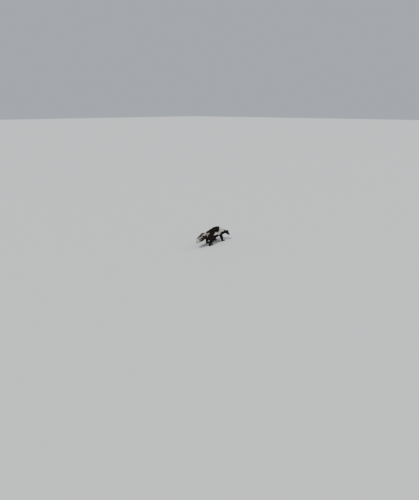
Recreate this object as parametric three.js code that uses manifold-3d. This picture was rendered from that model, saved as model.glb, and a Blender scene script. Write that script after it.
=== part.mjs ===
// A striped skunk at life size, walking with its head low and its tail trailing behind it.
// Millimetres, +Z up, +X ahead along the trunk, +Y the animal's left.
import * as THREE from "three";
import { mergeVertices } from "three/addons/utils/BufferGeometryUtils.js";
import Module from "manifold-3d";

const wasm = await Module();
wasm.setup();

// Driving sizes
const GAP = 0.3; // between two nodes that meet
const WELD = 0.02; // corners of a finished node nearer than this are one
const WITHERS = 190; // height of the back over the shoulders, coat and all
const TRUNK_HALF_WIDTH = 68; // at the ribs, coat and all
const TAIL_RADIUS = 36; // of the relaxed brush at its fullest
const HEAD_YAW = -37; // degrees, to the animal's right
const HEAD_PITCH = 35; // degrees, nose down
const HEAD_AT = [150, -49, 128]; // the joint of skull and neck
const EYE_RADIUS = 4;

// Trunk and neck, from the root of the tail to the skull: [x, y, z, side, top, bottom radius]
const TRUNK = [
  [-136, 0, 0.57, 0.46, 28, 31],
  [-104, 0, 0.585, 0.86, 47, 59],
  [-54, 0, 0.645, 1.0, 52, 71],
  [5, 0, 0.7, 0.98, 54, 74],
  [58, -2, 0.73, 0.92, 52, 70],
  [94, -9, 0.71, 0.82, 46, 62],
  [128, -27, 0.65, 0.62, 32, 43],
  [154, -50, 0.665, 0.42, 24, 27],
].map(([x, y, high, wide, top, bottom]) => ({
  at: [x, y, high * WITHERS],
  radii: [wide * TRUNK_HALF_WIDTH, top, bottom],
}));

// Tail, from inside the rump to the last hairs
const TAIL = [
  [-112, 0, 115, 0.78],
  [-146, -1, 126, 0.93],
  [-190, -5, 125, 1.0],
  [-234, -11, 115, 0.96],
  [-274, -17, 103, 0.72],
  [-304, -22, 95, 0.3],
].map(([x, y, z, full]) => ({ at: [x, y, z], radii: Array(3).fill(full * TAIL_RADIUS) }));

// Skull and upper muzzle in the head's own frame, x towards the nose: [x, z, side, top, bottom]
const SKULL = [
  [-12, 0, 28, 24.5, 26],
  [2, 0.5, 30.5, 26, 26],
  [18, -0.5, 31.5, 25, 25],
  [31, -3, 28.5, 22, 20.5],
  [43, -6.5, 21.5, 17.5, 14.5],
  [54, -9.3, 15.6, 13.4, 10.6],
  [64, -11, 12.2, 10.2, 7.8],
  [72.5, -11.8, 10.2, 8.2, 6.4],
  [77.5, -12, 8.2, 6.4, 5.2],
].map(([x, z, side, top, bottom]) => ({ at: [x, 0, z], radii: [side, top, bottom] }));

const JAW = [
  [8, -14, 22, 10, 13],
  [26, -15.4, 20, 8, 10.6],
  [42, -17.2, 15, 5.6, 7.4],
  [55, -18.8, 10.2, 4.2, 5],
  [66, -19.4, 7.8, 3.2, 4],
  [72.5, -19.2, 6, 2.4, 3.2],
].map(([x, z, side, top, bottom]) => ({ at: [x, 0, z], radii: [side, top, bottom] }));

// The line of the mouth, from its left corner to the middle of the front
const MOUTH = [
  [43, 12.4, -18.4],
  [51, 11.6, -18.4],
  [60, 9.5, -18],
  [69, 7.4, -17.4],
  [75.4, 3.2, -17],
];

// Places on the skull: the share of its length, the degrees from its top, and the depth
const EYE_PLACE = { share: 0.565, turn: 58, deep: 2.9 };
const EYE_FACES = [0.46, 0.82, 0.34];
const EAR_PLACE = { share: 0.2, turn: 68, deep: 3 };
const EAR_TILT = [-42, -16, -20]; // degrees about x, y and z
const NOSE_AT = [78, 0, -10.4];

// Coats: rows of flat locks, each lying over the root of the next; depth is that of the coat
const TRUNK_COAT_DEPTH = [[0, 9], [0.15, 11], [0.45, 9], [0.6, 6], [0.735, 2.6], [0.86, 3], [1, 1]];
const TORSO_COAT = { from: 0.715, to: 0.09, rows: 6, columns: 9, spread: 120, length: 86, width: 39 };
const NECK_COAT = { from: 0.92, to: 0.8, rows: 2, columns: 7, spread: 120, length: 48, width: 30 };
const TAIL_COAT = { from: 0.06, to: 0.72, rows: 6, columns: 7, spread: 180, length: 90, width: 31 };
const THIGH_COAT = { from: 0.17, to: 0.46, rows: 2, columns: 4, spread: 78, length: 48, width: 29 };
const TAIL_CORE = 0.5; // of the full radius, the rest is hair
const THIGH_COAT_DEPTH = [[0, 5], [0.5, 4], [0.75, 0], [1, 0]];
const LOCK = { thick: 2.6, rootShare: 0.6, sink: 3.5, lift: 0.8, vary: 0.16 };

// Each leg from inside the trunk to the ankle: [x, y, z, fore-and-aft, sideways radius], right side
const FORE_LEG = [
  [84, -24, 122, 24, 20],
  [83, -36, 92, 26, 20],
  [88, -42, 60, 20, 17],
  [97, -44, 30, 14.5, 13.5],
  [99, -44, 12, 12, 11.5],
];
const HIND_LEG = [
  [-84, -22, 128, 30, 20],
  [-84, -37, 100, 38, 27],
  [-82, -44, 72, 34, 24],
  [-94, -47, 46, 22.5, 18],
  [-112, -48, 27, 15, 13.5],
  [-113, -48, 12, 12, 11.5],
];
const STRIDE = { foreRight: 6, foreLeft: -34, hindRight: -10, hindLeft: 44 };

const FORE_PAW = { heel: 6, sole: 24, toe: 13, claw: 13, width: 21, toes: 5 };
const HIND_PAW = { heel: 15, sole: 38, toe: 11, claw: 8, width: 22, toes: 5 };

// Finishes
const finish = (hex, roughness) => new THREE.MeshStandardMaterial({ color: hex, roughness, metalness: 0 });
const blackCoat = finish(0x14110f, 0.85);
const whiteCoat = finish(0xd9d4c8, 0.85);
const wetEye = finish(0x0a0605, 0.12);
const noseSkin = finish(0x1d1817, 0.5);

const vector = (a) => new THREE.Vector3(...a);
const radians = THREE.MathUtils.degToRad;

// A closed solid from a geometry, whose corners nearer than weld are made one
function solidOf(geometry, weld = 1e-4) {
  const bare = new THREE.BufferGeometry()
    .setAttribute("position", geometry.getAttribute("position"))
    .setIndex(geometry.index);
  const merged = mergeVertices(bare, weld);
  const mesh = new wasm.Mesh({
    numProp: 3,
    vertProperties: merged.attributes.position.array,
    triVerts: new Uint32Array(merged.index.array),
  });
  return new wasm.Manifold(mesh);
}

// Rings of points become a closed skin, with the first and last ring drawn in to a point each
function skinOver(rings) {
  const sides = rings[1].length;
  const geometry = new THREE.SphereGeometry(1, sides, rings.length - 1);
  const place = geometry.getAttribute("position");
  rings.forEach((ring, row) => {
    for (let i = 0; i <= sides; i++) {
      const p = ring[i % ring.length];
      place.setXYZ(row * (sides + 1) + i, p.x, p.y, p.z);
    }
  });
  return geometry;
}

// The same skin with its faces turned to the other side
function turnedOut(geometry) {
  const index = Array.from(geometry.index.array);
  for (let i = 0; i < index.length; i += 3) [index[i], index[i + 1]] = [index[i + 1], index[i]];
  return geometry.setIndex(index);
}

// A blade from its root point over rings of edge, ridge, edge and keel to its tip point; both faces of
// the blade are split alike, from an edge at one ring to the ridge or keel at the next
function bladeOver(root, rings, tip) {
  const points = [root, ...rings.flat(), tip];
  const corner = (row, i) => 1 + 4 * row + (i % 4);
  const last = points.length - 1;
  const index = [];
  for (let i = 0; i < 4; i++) {
    index.push(0, corner(0, i + 1), corner(0, i));
    for (let row = 0; row < rings.length - 1; row++) {
      const [a, b] = [corner(row, i), corner(row, i + 1)];
      const [d, c] = [corner(row + 1, i), corner(row + 1, i + 1)];
      index.push(...(i % 2 === 0 ? [a, b, c, a, c, d] : [a, b, d, b, c, d]));
    }
    index.push(last, corner(rings.length - 1, i), corner(rings.length - 1, i + 1));
  }
  return new THREE.BufferGeometry().setFromPoints(points).setIndex(index);
}

// A value read off a short table of [share, value] by straight lines
function along(table, t) {
  const next = table.findIndex(([share]) => share >= t);
  if (next < 0) return table.at(-1)[1];
  if (next === 0) return table[0][1];
  const [[t0, v0], [t1, v1]] = [table[next - 1], table[next]];
  return THREE.MathUtils.mapLinear(t, t0, t1, v0, v1);
}

// A line of stations as smooth curves of its centre and its radii
function limb(stations, ahead = [0, 0, 1]) {
  const centre = new THREE.CatmullRomCurve3(stations.map((s) => vector(s.at)), false, "centripetal");
  const radii = new THREE.CatmullRomCurve3(stations.map((s) => vector(s.radii)), false, "catmullrom", 0.5);
  return { centre, radii, ahead: vector(ahead), length: centre.getLength() };
}

// Where the limb is at the share t of its stations, and how it is turned there; it runs on past its ends
function frameAt(form, t) {
  const inside = THREE.MathUtils.clamp(t, 0, 1);
  const heading = form.centre.getTangent(inside);
  const centre = form.centre.getPoint(inside).addScaledVector(heading, (t - inside) * form.length);
  const side = new THREE.Vector3().crossVectors(form.ahead, heading).normalize();
  const up = new THREE.Vector3().crossVectors(heading, side);
  const [a, top, bottom] = form.radii.getPoint(inside).toArray();
  return { centre, heading, side, up, a, top, bottom };
}

// A point of the limb's surface at the angle turn from its top, raised by high, and the way out there
function surfaceAt(form, t, turn, high = 0) {
  const f = frameAt(form, t);
  const b = Math.cos(turn) > 0 ? f.top : f.bottom;
  const out = f.side.clone().multiplyScalar(Math.sin(turn) / f.a)
    .addScaledVector(f.up, Math.cos(turn) / b).normalize();
  const at = f.centre.clone().addScaledVector(f.side, f.a * Math.sin(turn))
    .addScaledVector(f.up, b * Math.cos(turn)).addScaledVector(out, high);
  return { at, out };
}

// The limb as a closed skin with rounded ends, raised or sunk by what raise gives for a share and an angle
function sweep(form, { sides, steps, from = 0, to = 1, capSteps = 2, endRound = 0.7, raise = () => 0 }) {
  const ring = (t, share, push) => {
    const f = frameAt(form, t);
    return Array.from({ length: sides }, (_, i) => {
      const turn = (i / sides) * 2 * Math.PI;
      const out = surfaceAt(form, t, turn, raise(t, turn)).at.sub(f.centre);
      return f.centre.clone().addScaledVector(out, share).addScaledVector(f.heading, push);
    });
  };
  const bulge = (t) => (Math.min(frameAt(form, t).a, frameAt(form, t).top) + raise(t, 0)) * endRound;
  const cap = (t, q, sign) => ring(t, Math.sin(q), sign * Math.cos(q) * bulge(t));
  const quarter = (i) => (i / capSteps) * (Math.PI / 2);
  const rings = [];
  for (let i = 0; i < capSteps; i++) rings.push(cap(from, quarter(i), -1));
  for (let i = 0; i <= steps; i++) rings.push(ring(from + (i / steps) * (to - from), 1, 0));
  for (let i = capSteps - 1; i >= 0; i--) rings.push(cap(to, quarter(i), 1));
  return solidOf(skinOver(rings));
}

// A flat lock that rises from its root under the skin, bends aside and tapers to its tip
function lockSolid(form, { t, turn, length, width, deep, lift, sway, way }) {
  const round = (frameAt(form, t).a + frameAt(form, t).bottom) / 2;
  const place = (u, aside, thick) => {
    const high = -deep + (deep + lift) * u ** 0.85;
    const here = t + (way * u * length) / form.length;
    return surfaceAt(form, here, turn + sway * u * u + aside / round, high + thick).at;
  };
  const ring = (u, wide, thick) => [
    place(u, wide / 2, 0), place(u, 0, thick / 2), place(u, -wide / 2, 0), place(u, 0, -thick / 2),
  ];
  const blade = bladeOver(place(0, 0, 0), [
    ring(0.03, width * LOCK.rootShare, LOCK.thick),
    ring(0.36, width, LOCK.thick),
    ring(0.7, width * 0.74, LOCK.thick * 0.8),
  ], place(1, 0, 0));
  const made = solidOf(blade);
  return made.volume() > 0 ? made : solidOf(turnedOut(blade));
}

// Rows of locks over the limb, every other column set back by half a row
function coat(form, { from, to, rows, columns, spread, length, width }, depth, way, middle = 0, droop = 0) {
  const vary = (amount) => 1 + LOCK.vary * amount * (2 * THREE.MathUtils.seededRandom() - 1);
  const locks = [];
  for (let c = 0; c < columns; c++) {
    const turn = radians(middle + spread * ((2 * c + 1) / columns - 1));
    for (let r = 0; r < rows; r++) {
      const t = THREE.MathUtils.lerp(from, to, (r + (c % 2) / 2) / (rows - 0.5));
      const reach = way > 0 ? (1.08 - t) * form.length : length;
      locks.push(lockSolid(form, {
        t,
        turn: turn + 0.03 * (vary(1) - 1) / LOCK.vary,
        length: Math.min(length * vary(1), reach),
        width: width * vary(0.5),
        deep: depth(t, turn) + LOCK.sink,
        lift: LOCK.lift * vary(3),
        sway: droop * Math.sin(turn) + 0.12 * (vary(1) - 1) / LOCK.vary,
        way,
      }));
    }
  }
  return join(locks);
}

const join = (solids) => wasm.Manifold.union(solids);

// The one closed surface that holds the most, which fills sealed hollows and drops scraps
function largest(solid) {
  return solid.decompose().reduce((best, s) => (s.volume() > best.volume() ? s : best));
}

function ball(radius, at, around, down, stretch = [1, 1, 1]) {
  const geometry = new THREE.SphereGeometry(radius, around, down);
  geometry.scale(...stretch);
  geometry.translate(...at);
  return solidOf(geometry);
}

function geometryOf(solid) {
  const { numProp, vertProperties, triVerts } = solid.getMesh();
  return new THREE.BufferGeometry()
    .setAttribute("position", new THREE.BufferAttribute(vertProperties, numProp))
    .setIndex(new THREE.BufferAttribute(triVerts, 1));
}

function node(name, solid, material) {
  const welded = solidOf(geometryOf(largest(solid)), WELD);
  const geometry = geometryOf(largest(welded));
  geometry.computeVertexNormals();
  const mesh = new THREE.Mesh(geometry, material);
  mesh.name = name;
  return mesh;
}

// What lies ahead of, and behind, a plane across the limb at the share t, with the gap between them
function ahead(solid, form, t) {
  const { centre, heading } = frameAt(form, t);
  return solid.trimByPlane(heading.toArray(), centre.dot(heading) + GAP / 2);
}

function behind(solid, form, t) {
  const { centre, heading } = frameAt(form, t);
  return solid.trimByPlane(heading.clone().negate().toArray(), -centre.dot(heading) + GAP / 2);
}

const headFrame = new THREE.Matrix4().compose(
  vector(HEAD_AT),
  new THREE.Quaternion().setFromEuler(new THREE.Euler(0, radians(HEAD_PITCH), radians(HEAD_YAW), "ZYX")),
  new THREE.Vector3(1, 1, 1),
);
const intoHead = (solid) => solid.transform(headFrame.elements);
const mirrored = (solid) => solid.mirror([0, 1, 0]);

// Head
const skull = limb(SKULL);
const jaw = limb(JAW);

function skullSolid(grow = 0) {
  return join([
    sweep(skull, { sides: 18, steps: 13, endRound: 0.6, raise: () => grow }),
    sweep(jaw, { sides: 12, steps: 8, endRound: 0.6, raise: () => grow }),
  ]);
}

const placeOnSkull = ({ share, turn, deep }) => surfaceAt(skull, share, radians(turn), -deep).at.toArray();
const eyeAt = placeOnSkull(EYE_PLACE);
const earAt = placeOnSkull(EAR_PLACE);

function alongMouth(lift, radius, sides, outward) {
  const half = MOUTH.map(([x, y, z]) => vector([x + outward * 0.3, y + outward, z + lift]));
  const other = half.map((p) => new THREE.Vector3(p.x, -p.y, p.z)).reverse();
  const stations = [...half, ...other].map((p) => ({ at: p.toArray(), radii: [radius, radius, radius] }));
  return sweep(limb(stations), { sides, steps: 14, capSteps: 1, endRound: 1 });
}

function eyeOpening() {
  const wide = 3.9;
  const lens = new THREE.Shape();
  lens.moveTo(-wide, -0.4);
  lens.quadraticCurveTo(-0.8, 6.6, wide, 0.3);
  lens.quadraticCurveTo(0.6, -5.6, -wide, -0.4);
  const geometry = new THREE.ExtrudeGeometry(lens, { depth: 8, bevelEnabled: false, curveSegments: 5 });
  const look = new THREE.Matrix4().lookAt(vector(EYE_FACES), vector([0, 0, 0]), vector([0, 0, 1]));
  geometry.applyMatrix4(look.setPosition(vector(eyeAt)));
  return solidOf(geometry);
}

function lidded(face) {
  const lids = ball(EYE_RADIUS + 1.1, eyeAt, 12, 8);
  const socket = join([ball(EYE_RADIUS + GAP, eyeAt, 12, 8), eyeOpening()]);
  return join([face, lids, mirrored(lids)]).subtract(join([socket, mirrored(socket)]));
}

function nosePad(grow) {
  return ball(1, NOSE_AT, 12, 8, [5.2 + grow, 6.3 + grow, 4.8 + grow]);
}

function nostrils() {
  const left = limb([
    [5.4, 2, -0.8, 1.2],
    [2.8, 2.5, -0.5, 1.1],
    [1.8, 4.7, -0.2, 0.8],
    [0.7, 7.2, 0.2, 0.6],
  ].map(([x, y, z, r]) => ({ at: [NOSE_AT[0] + x, y, NOSE_AT[2] + z], radii: [r, r, r] })));
  const hole = sweep(left, { sides: 6, steps: 5, capSteps: 1, endRound: 1 });
  return join([hole, mirrored(hole)]);
}

// The ear is a cup: a rounded leaf with its front hollowed out
function earSolid() {
  const leaf = ball(1, [0, 0, 6.5], 14, 8, [4.4, 10.8, 12.4]);
  const hollow = ball(1, [3.9, 0, 7.6], 12, 8, [5.2, 8.4, 9.8]);
  const turn = new THREE.Matrix4().compose(
    vector(earAt),
    new THREE.Quaternion().setFromEuler(new THREE.Euler(...EAR_TILT.map(radians), "ZXY")),
    new THREE.Vector3(1, 1, 1),
  );
  const solid = leaf.subtract(hollow).transform(turn.elements);
  return { solid, up: vector([0, 0, 1]).transformDirection(turn) };
}

function headParts() {
  const ear = earSolid();
  const rim = vector(earAt).addScaledVector(ear.up, 1.5);
  const offset = rim.dot(ear.up);
  const stub = ear.solid.trimByPlane(ear.up.clone().negate().toArray(), -offset + GAP / 2);
  const cup = largest(ear.solid.trimByPlane(ear.up.toArray(), offset + GAP / 2));
  const face = lidded(skullSolid())
    .add(alongMouth(1.7, 1.5, 5, 0))
    .subtract(alongMouth(0, 0.7, 4, 1.2))
    .add(stub).add(mirrored(stub))
    .subtract(cup).subtract(mirrored(cup))
    .subtract(nosePad(GAP));
  return { face, cup, nose: nosePad(0).subtract(nostrils()) };
}

// Legs and paws
// A leg's stations on one side, drawn ahead or back by its stride the more the lower they are
function legForm(stations, side, stride) {
  const shifted = stations.map(([x, y, z, foreAft, across]) => {
    const low = Math.max(0, 1 - z / 95);
    return {
      at: [x + stride * Math.min(1, low * 1.25), -side * y, z],
      radii: [across, foreAft, foreAft],
    };
  });
  return limb(shifted, [1, 0, 0]);
}

function clawSolid(length, thick) {
  const stations = [0, 0.35, 0.7, 1].map((t) => ({
    at: [length * Math.sin(t * 1.15) / Math.sin(1.15), 0, -length * 0.34 * t * t],
    radii: [0.62, 1, 1].map((k) => k * (thick * (1 - t) + 0.3)),
  }));
  return sweep(limb(stations), { sides: 4, steps: 2, capSteps: 1, endRound: 1 });
}

function pawSolid({ heel, sole, toe, claw, width, toes }) {
  const pad = limb([
    { at: [-heel, 0, 8], radii: [7.4, 7, 8.6] },
    { at: [sole * 0.4, 0, 8.6], radii: [width * 0.45, 8.6, 9.2] },
    { at: [sole, 0, 5.6], radii: [width * 0.5, 5.4, 6.2] },
  ]);
  const pieces = [sweep(pad, { sides: 8, steps: 3, capSteps: 2, endRound: 0.6 })];
  for (let i = 0; i < toes; i++) {
    const across = i / (toes - 1) - 0.5;
    const reach = sole + toe * (1 - 1.9 * across * across);
    const root = [sole - 6, across * width * 0.8, 4.8];
    const tip = [reach, across * width * 1.16, 4.2];
    const toeForm = limb([
      { at: root, radii: [3.4, 3.8, 5] },
      { at: tip, radii: [3, 3.2, 4.4] },
    ]);
    pieces.push(sweep(toeForm, { sides: 5, steps: 1, capSteps: 1, endRound: 0.8 }));
    const nail = clawSolid(claw, 1.7)
      .rotate([0, 0, THREE.MathUtils.radToDeg(Math.atan2(across * width * 0.36, toe))])
      .translate([tip[0] + 0.5, tip[1], tip[2] + 1.2]);
    pieces.push(nail);
  }
  return join(pieces);
}

const WRIST = 19; // height of the cut between leg and paw

function leg(name, form, paw, side, coated) {
  const ankle = form.centre.getPoint(1);
  const inset = (t) => (coated ? -along(THIGH_COAT_DEPTH, t) : 0);
  const shank = sweep(form, { sides: 12, steps: 9, capSteps: 1, endRound: 0.3, raise: inset });
  const hair = coated ? [coat(form, THIGH_COAT, (t) => -inset(t), 1, 130 * side)] : [];
  const foot = pawSolid(paw).translate([ankle.x, ankle.y, 0]);
  const upper = join([shank, ...hair]).subtract(trunkCoreClear).trimByPlane([0, 0, 1], WRIST + GAP / 2);
  const lower = join([shank.trimByPlane([0, 0, -1], -(WRIST + 12)), foot])
    .trimByPlane([0, 0, -1], -(WRIST - GAP / 2))
    .trimByPlane([0, 0, 1], 0);
  const end = side > 0 ? "left" : "right";
  return [node(`${name}_leg_${end}`, upper, blackCoat), node(`${name}_paw_${end}`, lower, blackCoat)];
}

// Trunk, neck and tail
const trunk = limb(TRUNK);
const tail = limb(TAIL);
const NECK_SHARE = 0.735;
const RUMP_SHARE = 0.045;

const fromTop = (turn) => Math.abs(turn > Math.PI ? turn - 2 * Math.PI : turn);
const bare = (turn) => THREE.MathUtils.smoothstep(fromTop(turn), 1.8, 2.6);
const trunkDepth = (t, turn) => along(TRUNK_COAT_DEPTH, t) * (1 - 0.75 * bare(turn));
const tailDepth = (t) => (1 - TAIL_CORE) * frameAt(tail, t).top;
const trunkShape = { sides: 20, steps: 16, endRound: 0.5 };

const trunkCore = sweep(trunk, { ...trunkShape, raise: (t, turn) => -trunkDepth(t, turn) });
const trunkCoreClear = sweep(trunk, { ...trunkShape, raise: (t, turn) => GAP - trunkDepth(t, turn) });

const legForms = [
  ["fore", FORE_LEG, FORE_PAW, -1, STRIDE.foreRight],
  ["fore", FORE_LEG, FORE_PAW, 1, STRIDE.foreLeft],
  ["hind", HIND_LEG, HIND_PAW, -1, STRIDE.hindRight],
  ["hind", HIND_LEG, HIND_PAW, 1, STRIDE.hindLeft],
].map(([name, stations, paw, side, stride]) => ({ name, paw, side, form: legForm(stations, side, stride) }));

const outlineMargin = LOCK.lift * (1 + 3 * LOCK.vary) + GAP;
const legsClear = join(legForms.map(({ form }) => sweep(form, {
  sides: 12, steps: 9, capSteps: 1, endRound: 0.3, raise: () => outlineMargin,
})));

const rumpEnd = behind(trunkCore, trunk, RUMP_SHARE);
const tailClear = behind(join([
  sweep(tail, { sides: 16, steps: 12, endRound: 0.6, raise: () => outlineMargin }),
  behind(trunkCoreClear, trunk, RUMP_SHARE),
]), trunk, RUMP_SHARE);

THREE.MathUtils.seededRandom(15);
const torsoCore = behind(ahead(trunkCore, trunk, RUMP_SHARE), trunk, NECK_SHARE);
const torsoCoat = coat(trunk, TORSO_COAT, trunkDepth, -1, 0, 0.1);
const torso = join([torsoCore, torsoCoat.subtract(tailClear).subtract(legsClear)]);

const neckCore = ahead(trunkCore, trunk, NECK_SHARE);
const neckCoat = ahead(coat(trunk, NECK_COAT, trunkDepth, -1, 0, 0.1), trunk, NECK_SHARE);
const neck = join([neckCore, neckCoat.subtract(legsClear)]).subtract(intoHead(skullSolid(GAP)));

const tailCore = sweep(tail, { sides: 14, steps: 10, to: 0.76, endRound: 0.6, raise: (t) => -tailDepth(t) });
const tailCoat = coat(tail, TAIL_COAT, tailDepth, 1);
const brush = behind(join([tailCore, rumpEnd, tailCoat]), trunk, RUMP_SHARE);

// The whole animal
const { face, cup, nose } = headParts();
const eye = ball(EYE_RADIUS, eyeAt, 12, 8);
const skunk = new THREE.Group();
skunk.add(
  node("torso", torso, blackCoat),
  node("neck", neck, whiteCoat),
  node("head", intoHead(face), blackCoat),
  node("ear_left", intoHead(cup), blackCoat),
  node("ear_right", intoHead(mirrored(cup)), blackCoat),
  node("eye_left", intoHead(eye), wetEye),
  node("eye_right", intoHead(mirrored(eye)), wetEye),
  node("nose", intoHead(nose), noseSkin),
  node("tail", brush, whiteCoat),
  ...legForms.flatMap(({ name, form, paw, side }) => leg(name, form, paw, side, name === "hind")),
);

// The origin stands under the middle of the whole
const bounds = new THREE.Box3().setFromObject(skunk, true);
const middle = bounds.getCenter(new THREE.Vector3());
skunk.position.set(-middle.x, -middle.y, -bounds.min.z);

export default skunk;
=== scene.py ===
import math

import bmesh
import bpy
import numpy as np
from mathutils import Matrix, Vector, kdtree


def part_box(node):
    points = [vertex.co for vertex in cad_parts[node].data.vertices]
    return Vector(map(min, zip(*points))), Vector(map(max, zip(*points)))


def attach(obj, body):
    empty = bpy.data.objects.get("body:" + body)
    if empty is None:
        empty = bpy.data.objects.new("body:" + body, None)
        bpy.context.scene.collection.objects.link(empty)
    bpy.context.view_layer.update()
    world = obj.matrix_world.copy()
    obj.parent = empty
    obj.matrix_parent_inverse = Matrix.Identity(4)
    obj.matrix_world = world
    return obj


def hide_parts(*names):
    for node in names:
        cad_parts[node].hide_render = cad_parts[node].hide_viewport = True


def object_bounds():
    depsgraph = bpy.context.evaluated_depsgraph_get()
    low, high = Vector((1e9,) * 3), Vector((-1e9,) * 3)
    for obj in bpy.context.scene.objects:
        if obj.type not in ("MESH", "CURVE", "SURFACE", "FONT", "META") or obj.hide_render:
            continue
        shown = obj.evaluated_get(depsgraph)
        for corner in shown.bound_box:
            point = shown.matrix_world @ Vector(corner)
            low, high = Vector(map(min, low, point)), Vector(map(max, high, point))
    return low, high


# A striped skunk at life size: one skin, a coat of solid tufts, eyes, nose, claws and whiskers
# Forms are worked out in the millimetres of the solids and put down in the frame's metres
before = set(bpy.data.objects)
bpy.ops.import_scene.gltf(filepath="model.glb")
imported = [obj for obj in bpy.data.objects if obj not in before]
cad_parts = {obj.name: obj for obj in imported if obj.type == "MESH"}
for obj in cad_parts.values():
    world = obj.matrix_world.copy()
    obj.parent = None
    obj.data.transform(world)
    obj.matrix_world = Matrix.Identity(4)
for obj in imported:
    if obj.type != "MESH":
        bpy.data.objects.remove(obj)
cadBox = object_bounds()
print("frame loaded:", len(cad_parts), "nodes")

# Camera: a wide phone lens about 1.5 m up, with the animal small and near the middle
photo = {
    "width": 419, "height": 500,  # pixels
    "focal": 376,  # pixels
    "sensor": 36,  # millimetres, along the longer side
    "animalAt": (214.0, 233.2),  # pixel that the middle of the trunk falls on
    "middle": (0, 0, 0.118),  # metres, the middle of the trunk from where the forms begin
    "from": (-48, 18),  # degrees: round the animal, and above the horizon
    "distance": 4.5, "clipEnd": 200,  # metres
}


def setCamera(shot, target):
    turn, rise = (math.radians(v) for v in shot["from"])
    back = Vector((math.sin(turn) * math.cos(rise), -math.cos(turn) * math.cos(rise), math.sin(rise)))
    data = bpy.data.cameras.new("camera")
    data.sensor_width = shot["sensor"]
    data.lens = shot["focal"] / shot["height"] * data.sensor_width
    data.clip_end = shot["clipEnd"]
    camera = bpy.data.objects.new("camera", data)
    bpy.context.scene.collection.objects.link(camera)
    camera.location = target + back * shot["distance"]
    aside = math.atan((shot["animalAt"][0] - shot["width"] / 2) / shot["focal"])
    above = math.atan((shot["height"] / 2 - shot["animalAt"][1]) / shot["focal"])
    camera.rotation_euler = (math.pi / 2 - rise - above, 0, turn + aside)
    bpy.context.scene.camera = camera


# Named sizes of the body in millimetres, as the solids have them
withers = 190
trunkHalfWidth = 68
tailRadius = 36
headTurn, headTilt = -37, 35  # degrees: to its right, and nose down
headAt = (150, -49, 128)
eyeRadius = 4.0
furOnHead, furOnJaw, furOnPaw = 1.2, 0.9, 0.7

trunkStations = [  # x, y, height share, width share, top and bottom radius
    (-136, 0, 0.57, 0.46, 28, 31),
    (-104, 0, 0.585, 0.86, 47, 59),
    (-54, 0, 0.645, 1.0, 52, 71),
    (5, 0, 0.7, 0.98, 54, 74),
    (58, -2, 0.73, 0.92, 52, 70),
    (94, -9, 0.71, 0.82, 46, 62),
    (128, -27, 0.65, 0.62, 32, 43),
    (154, -50, 0.665, 0.42, 24, 27),
]
tailStations = [  # x, y, z, share of the full radius
    (-112, 0, 115, 0.78),
    (-146, -1, 126, 0.93),
    (-190, -5, 125, 1.0),
    (-234, -11, 115, 0.96),
    (-274, -17, 103, 0.72),
    (-304, -22, 95, 0.3),
]
skullStations = [  # in the head's frame: x, z, side, top and bottom radius
    (-12, 0, 28, 24.5, 26),
    (2, 0.5, 30.5, 26, 26),
    (18, -0.5, 31.5, 25, 25),
    (31, -3, 28.5, 22, 20.5),
    (43, -6.5, 21.5, 17.5, 14.5),
    (54, -9.3, 15.6, 13.4, 10.6),
    (64, -11, 12.2, 10.2, 7.8),
    (72.5, -11.8, 10.2, 8.2, 6.4),
    (77.5, -12, 8.2, 6.4, 5.2),
]
jawStations = [
    (8, -14, 22, 10, 13),
    (26, -15.4, 20, 8, 10.6),
    (42, -17.2, 15, 5.6, 7.4),
    (55, -18.8, 10.2, 4.2, 5),
    (66, -19.4, 7.8, 3.2, 4),
    (72.5, -19.2, 6, 2.4, 3.2),
]
foreLeg = [  # x, y, z, fore-and-aft and sideways radius, on the right
    (84, -24, 122, 24, 20),
    (83, -36, 92, 26, 20),
    (88, -42, 60, 20, 17),
    (97, -44, 30, 14.5, 13.5),
    (99, -44, 12, 12, 11.5),
]
hindLeg = [
    (-84, -22, 128, 30, 20),
    (-84, -37, 100, 38, 27),
    (-82, -44, 72, 34, 24),
    (-94, -47, 46, 22.5, 18),
    (-112, -48, 27, 15, 13.5),
    (-113, -48, 12, 12, 11.5),
]
forePaw = {"heel": 6, "sole": 24, "toe": 13, "claw": 13, "width": 21, "toes": 5}
hindPaw = {"heel": 15, "sole": 38, "toe": 11, "claw": 8, "width": 22, "toes": 5}
legs = {  # side is 1 on the left, and the stride moves the foot ahead
    "foreRight": {"stations": foreLeg, "paw": forePaw, "side": -1, "stride": 6},
    "foreLeft": {"stations": foreLeg, "paw": forePaw, "side": 1, "stride": -34},
    "hindRight": {"stations": hindLeg, "paw": hindPaw, "side": -1, "stride": -10},
    "hindLeft": {"stations": hindLeg, "paw": hindPaw, "side": 1, "stride": 44},
}
strideForm = {"below": 95, "gain": 1.25}  # height where a leg starts to move, and how fast it does below

# Depth of the coat, and the tail's flesh as a share of its brush, by the share of the length
trunkCoatDepth = [(0, 9), (0.15, 11), (0.45, 9), (0.6, 6), (0.735, 2.6), (0.86, 3), (1, 1)]
legCoatDepth = [(0, 5.5), (0.45, 5.5), (0.7, 3.4), (0.9, 1.4), (1, 1)]
tailCore = [(0, 0.64), (0.12, 0.6), (0.34, 0.5), (0.6, 0.46), (0.84, 0.26), (1, 0.18)]
belly = {"from": 1.8, "over": 0.8, "thinner": 0.75, "shorter": 0.5}  # radians from the back, and shares lost


def lookUp(table, t):
    shares, values = zip(*table)
    return np.interp(t, shares, values)


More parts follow.
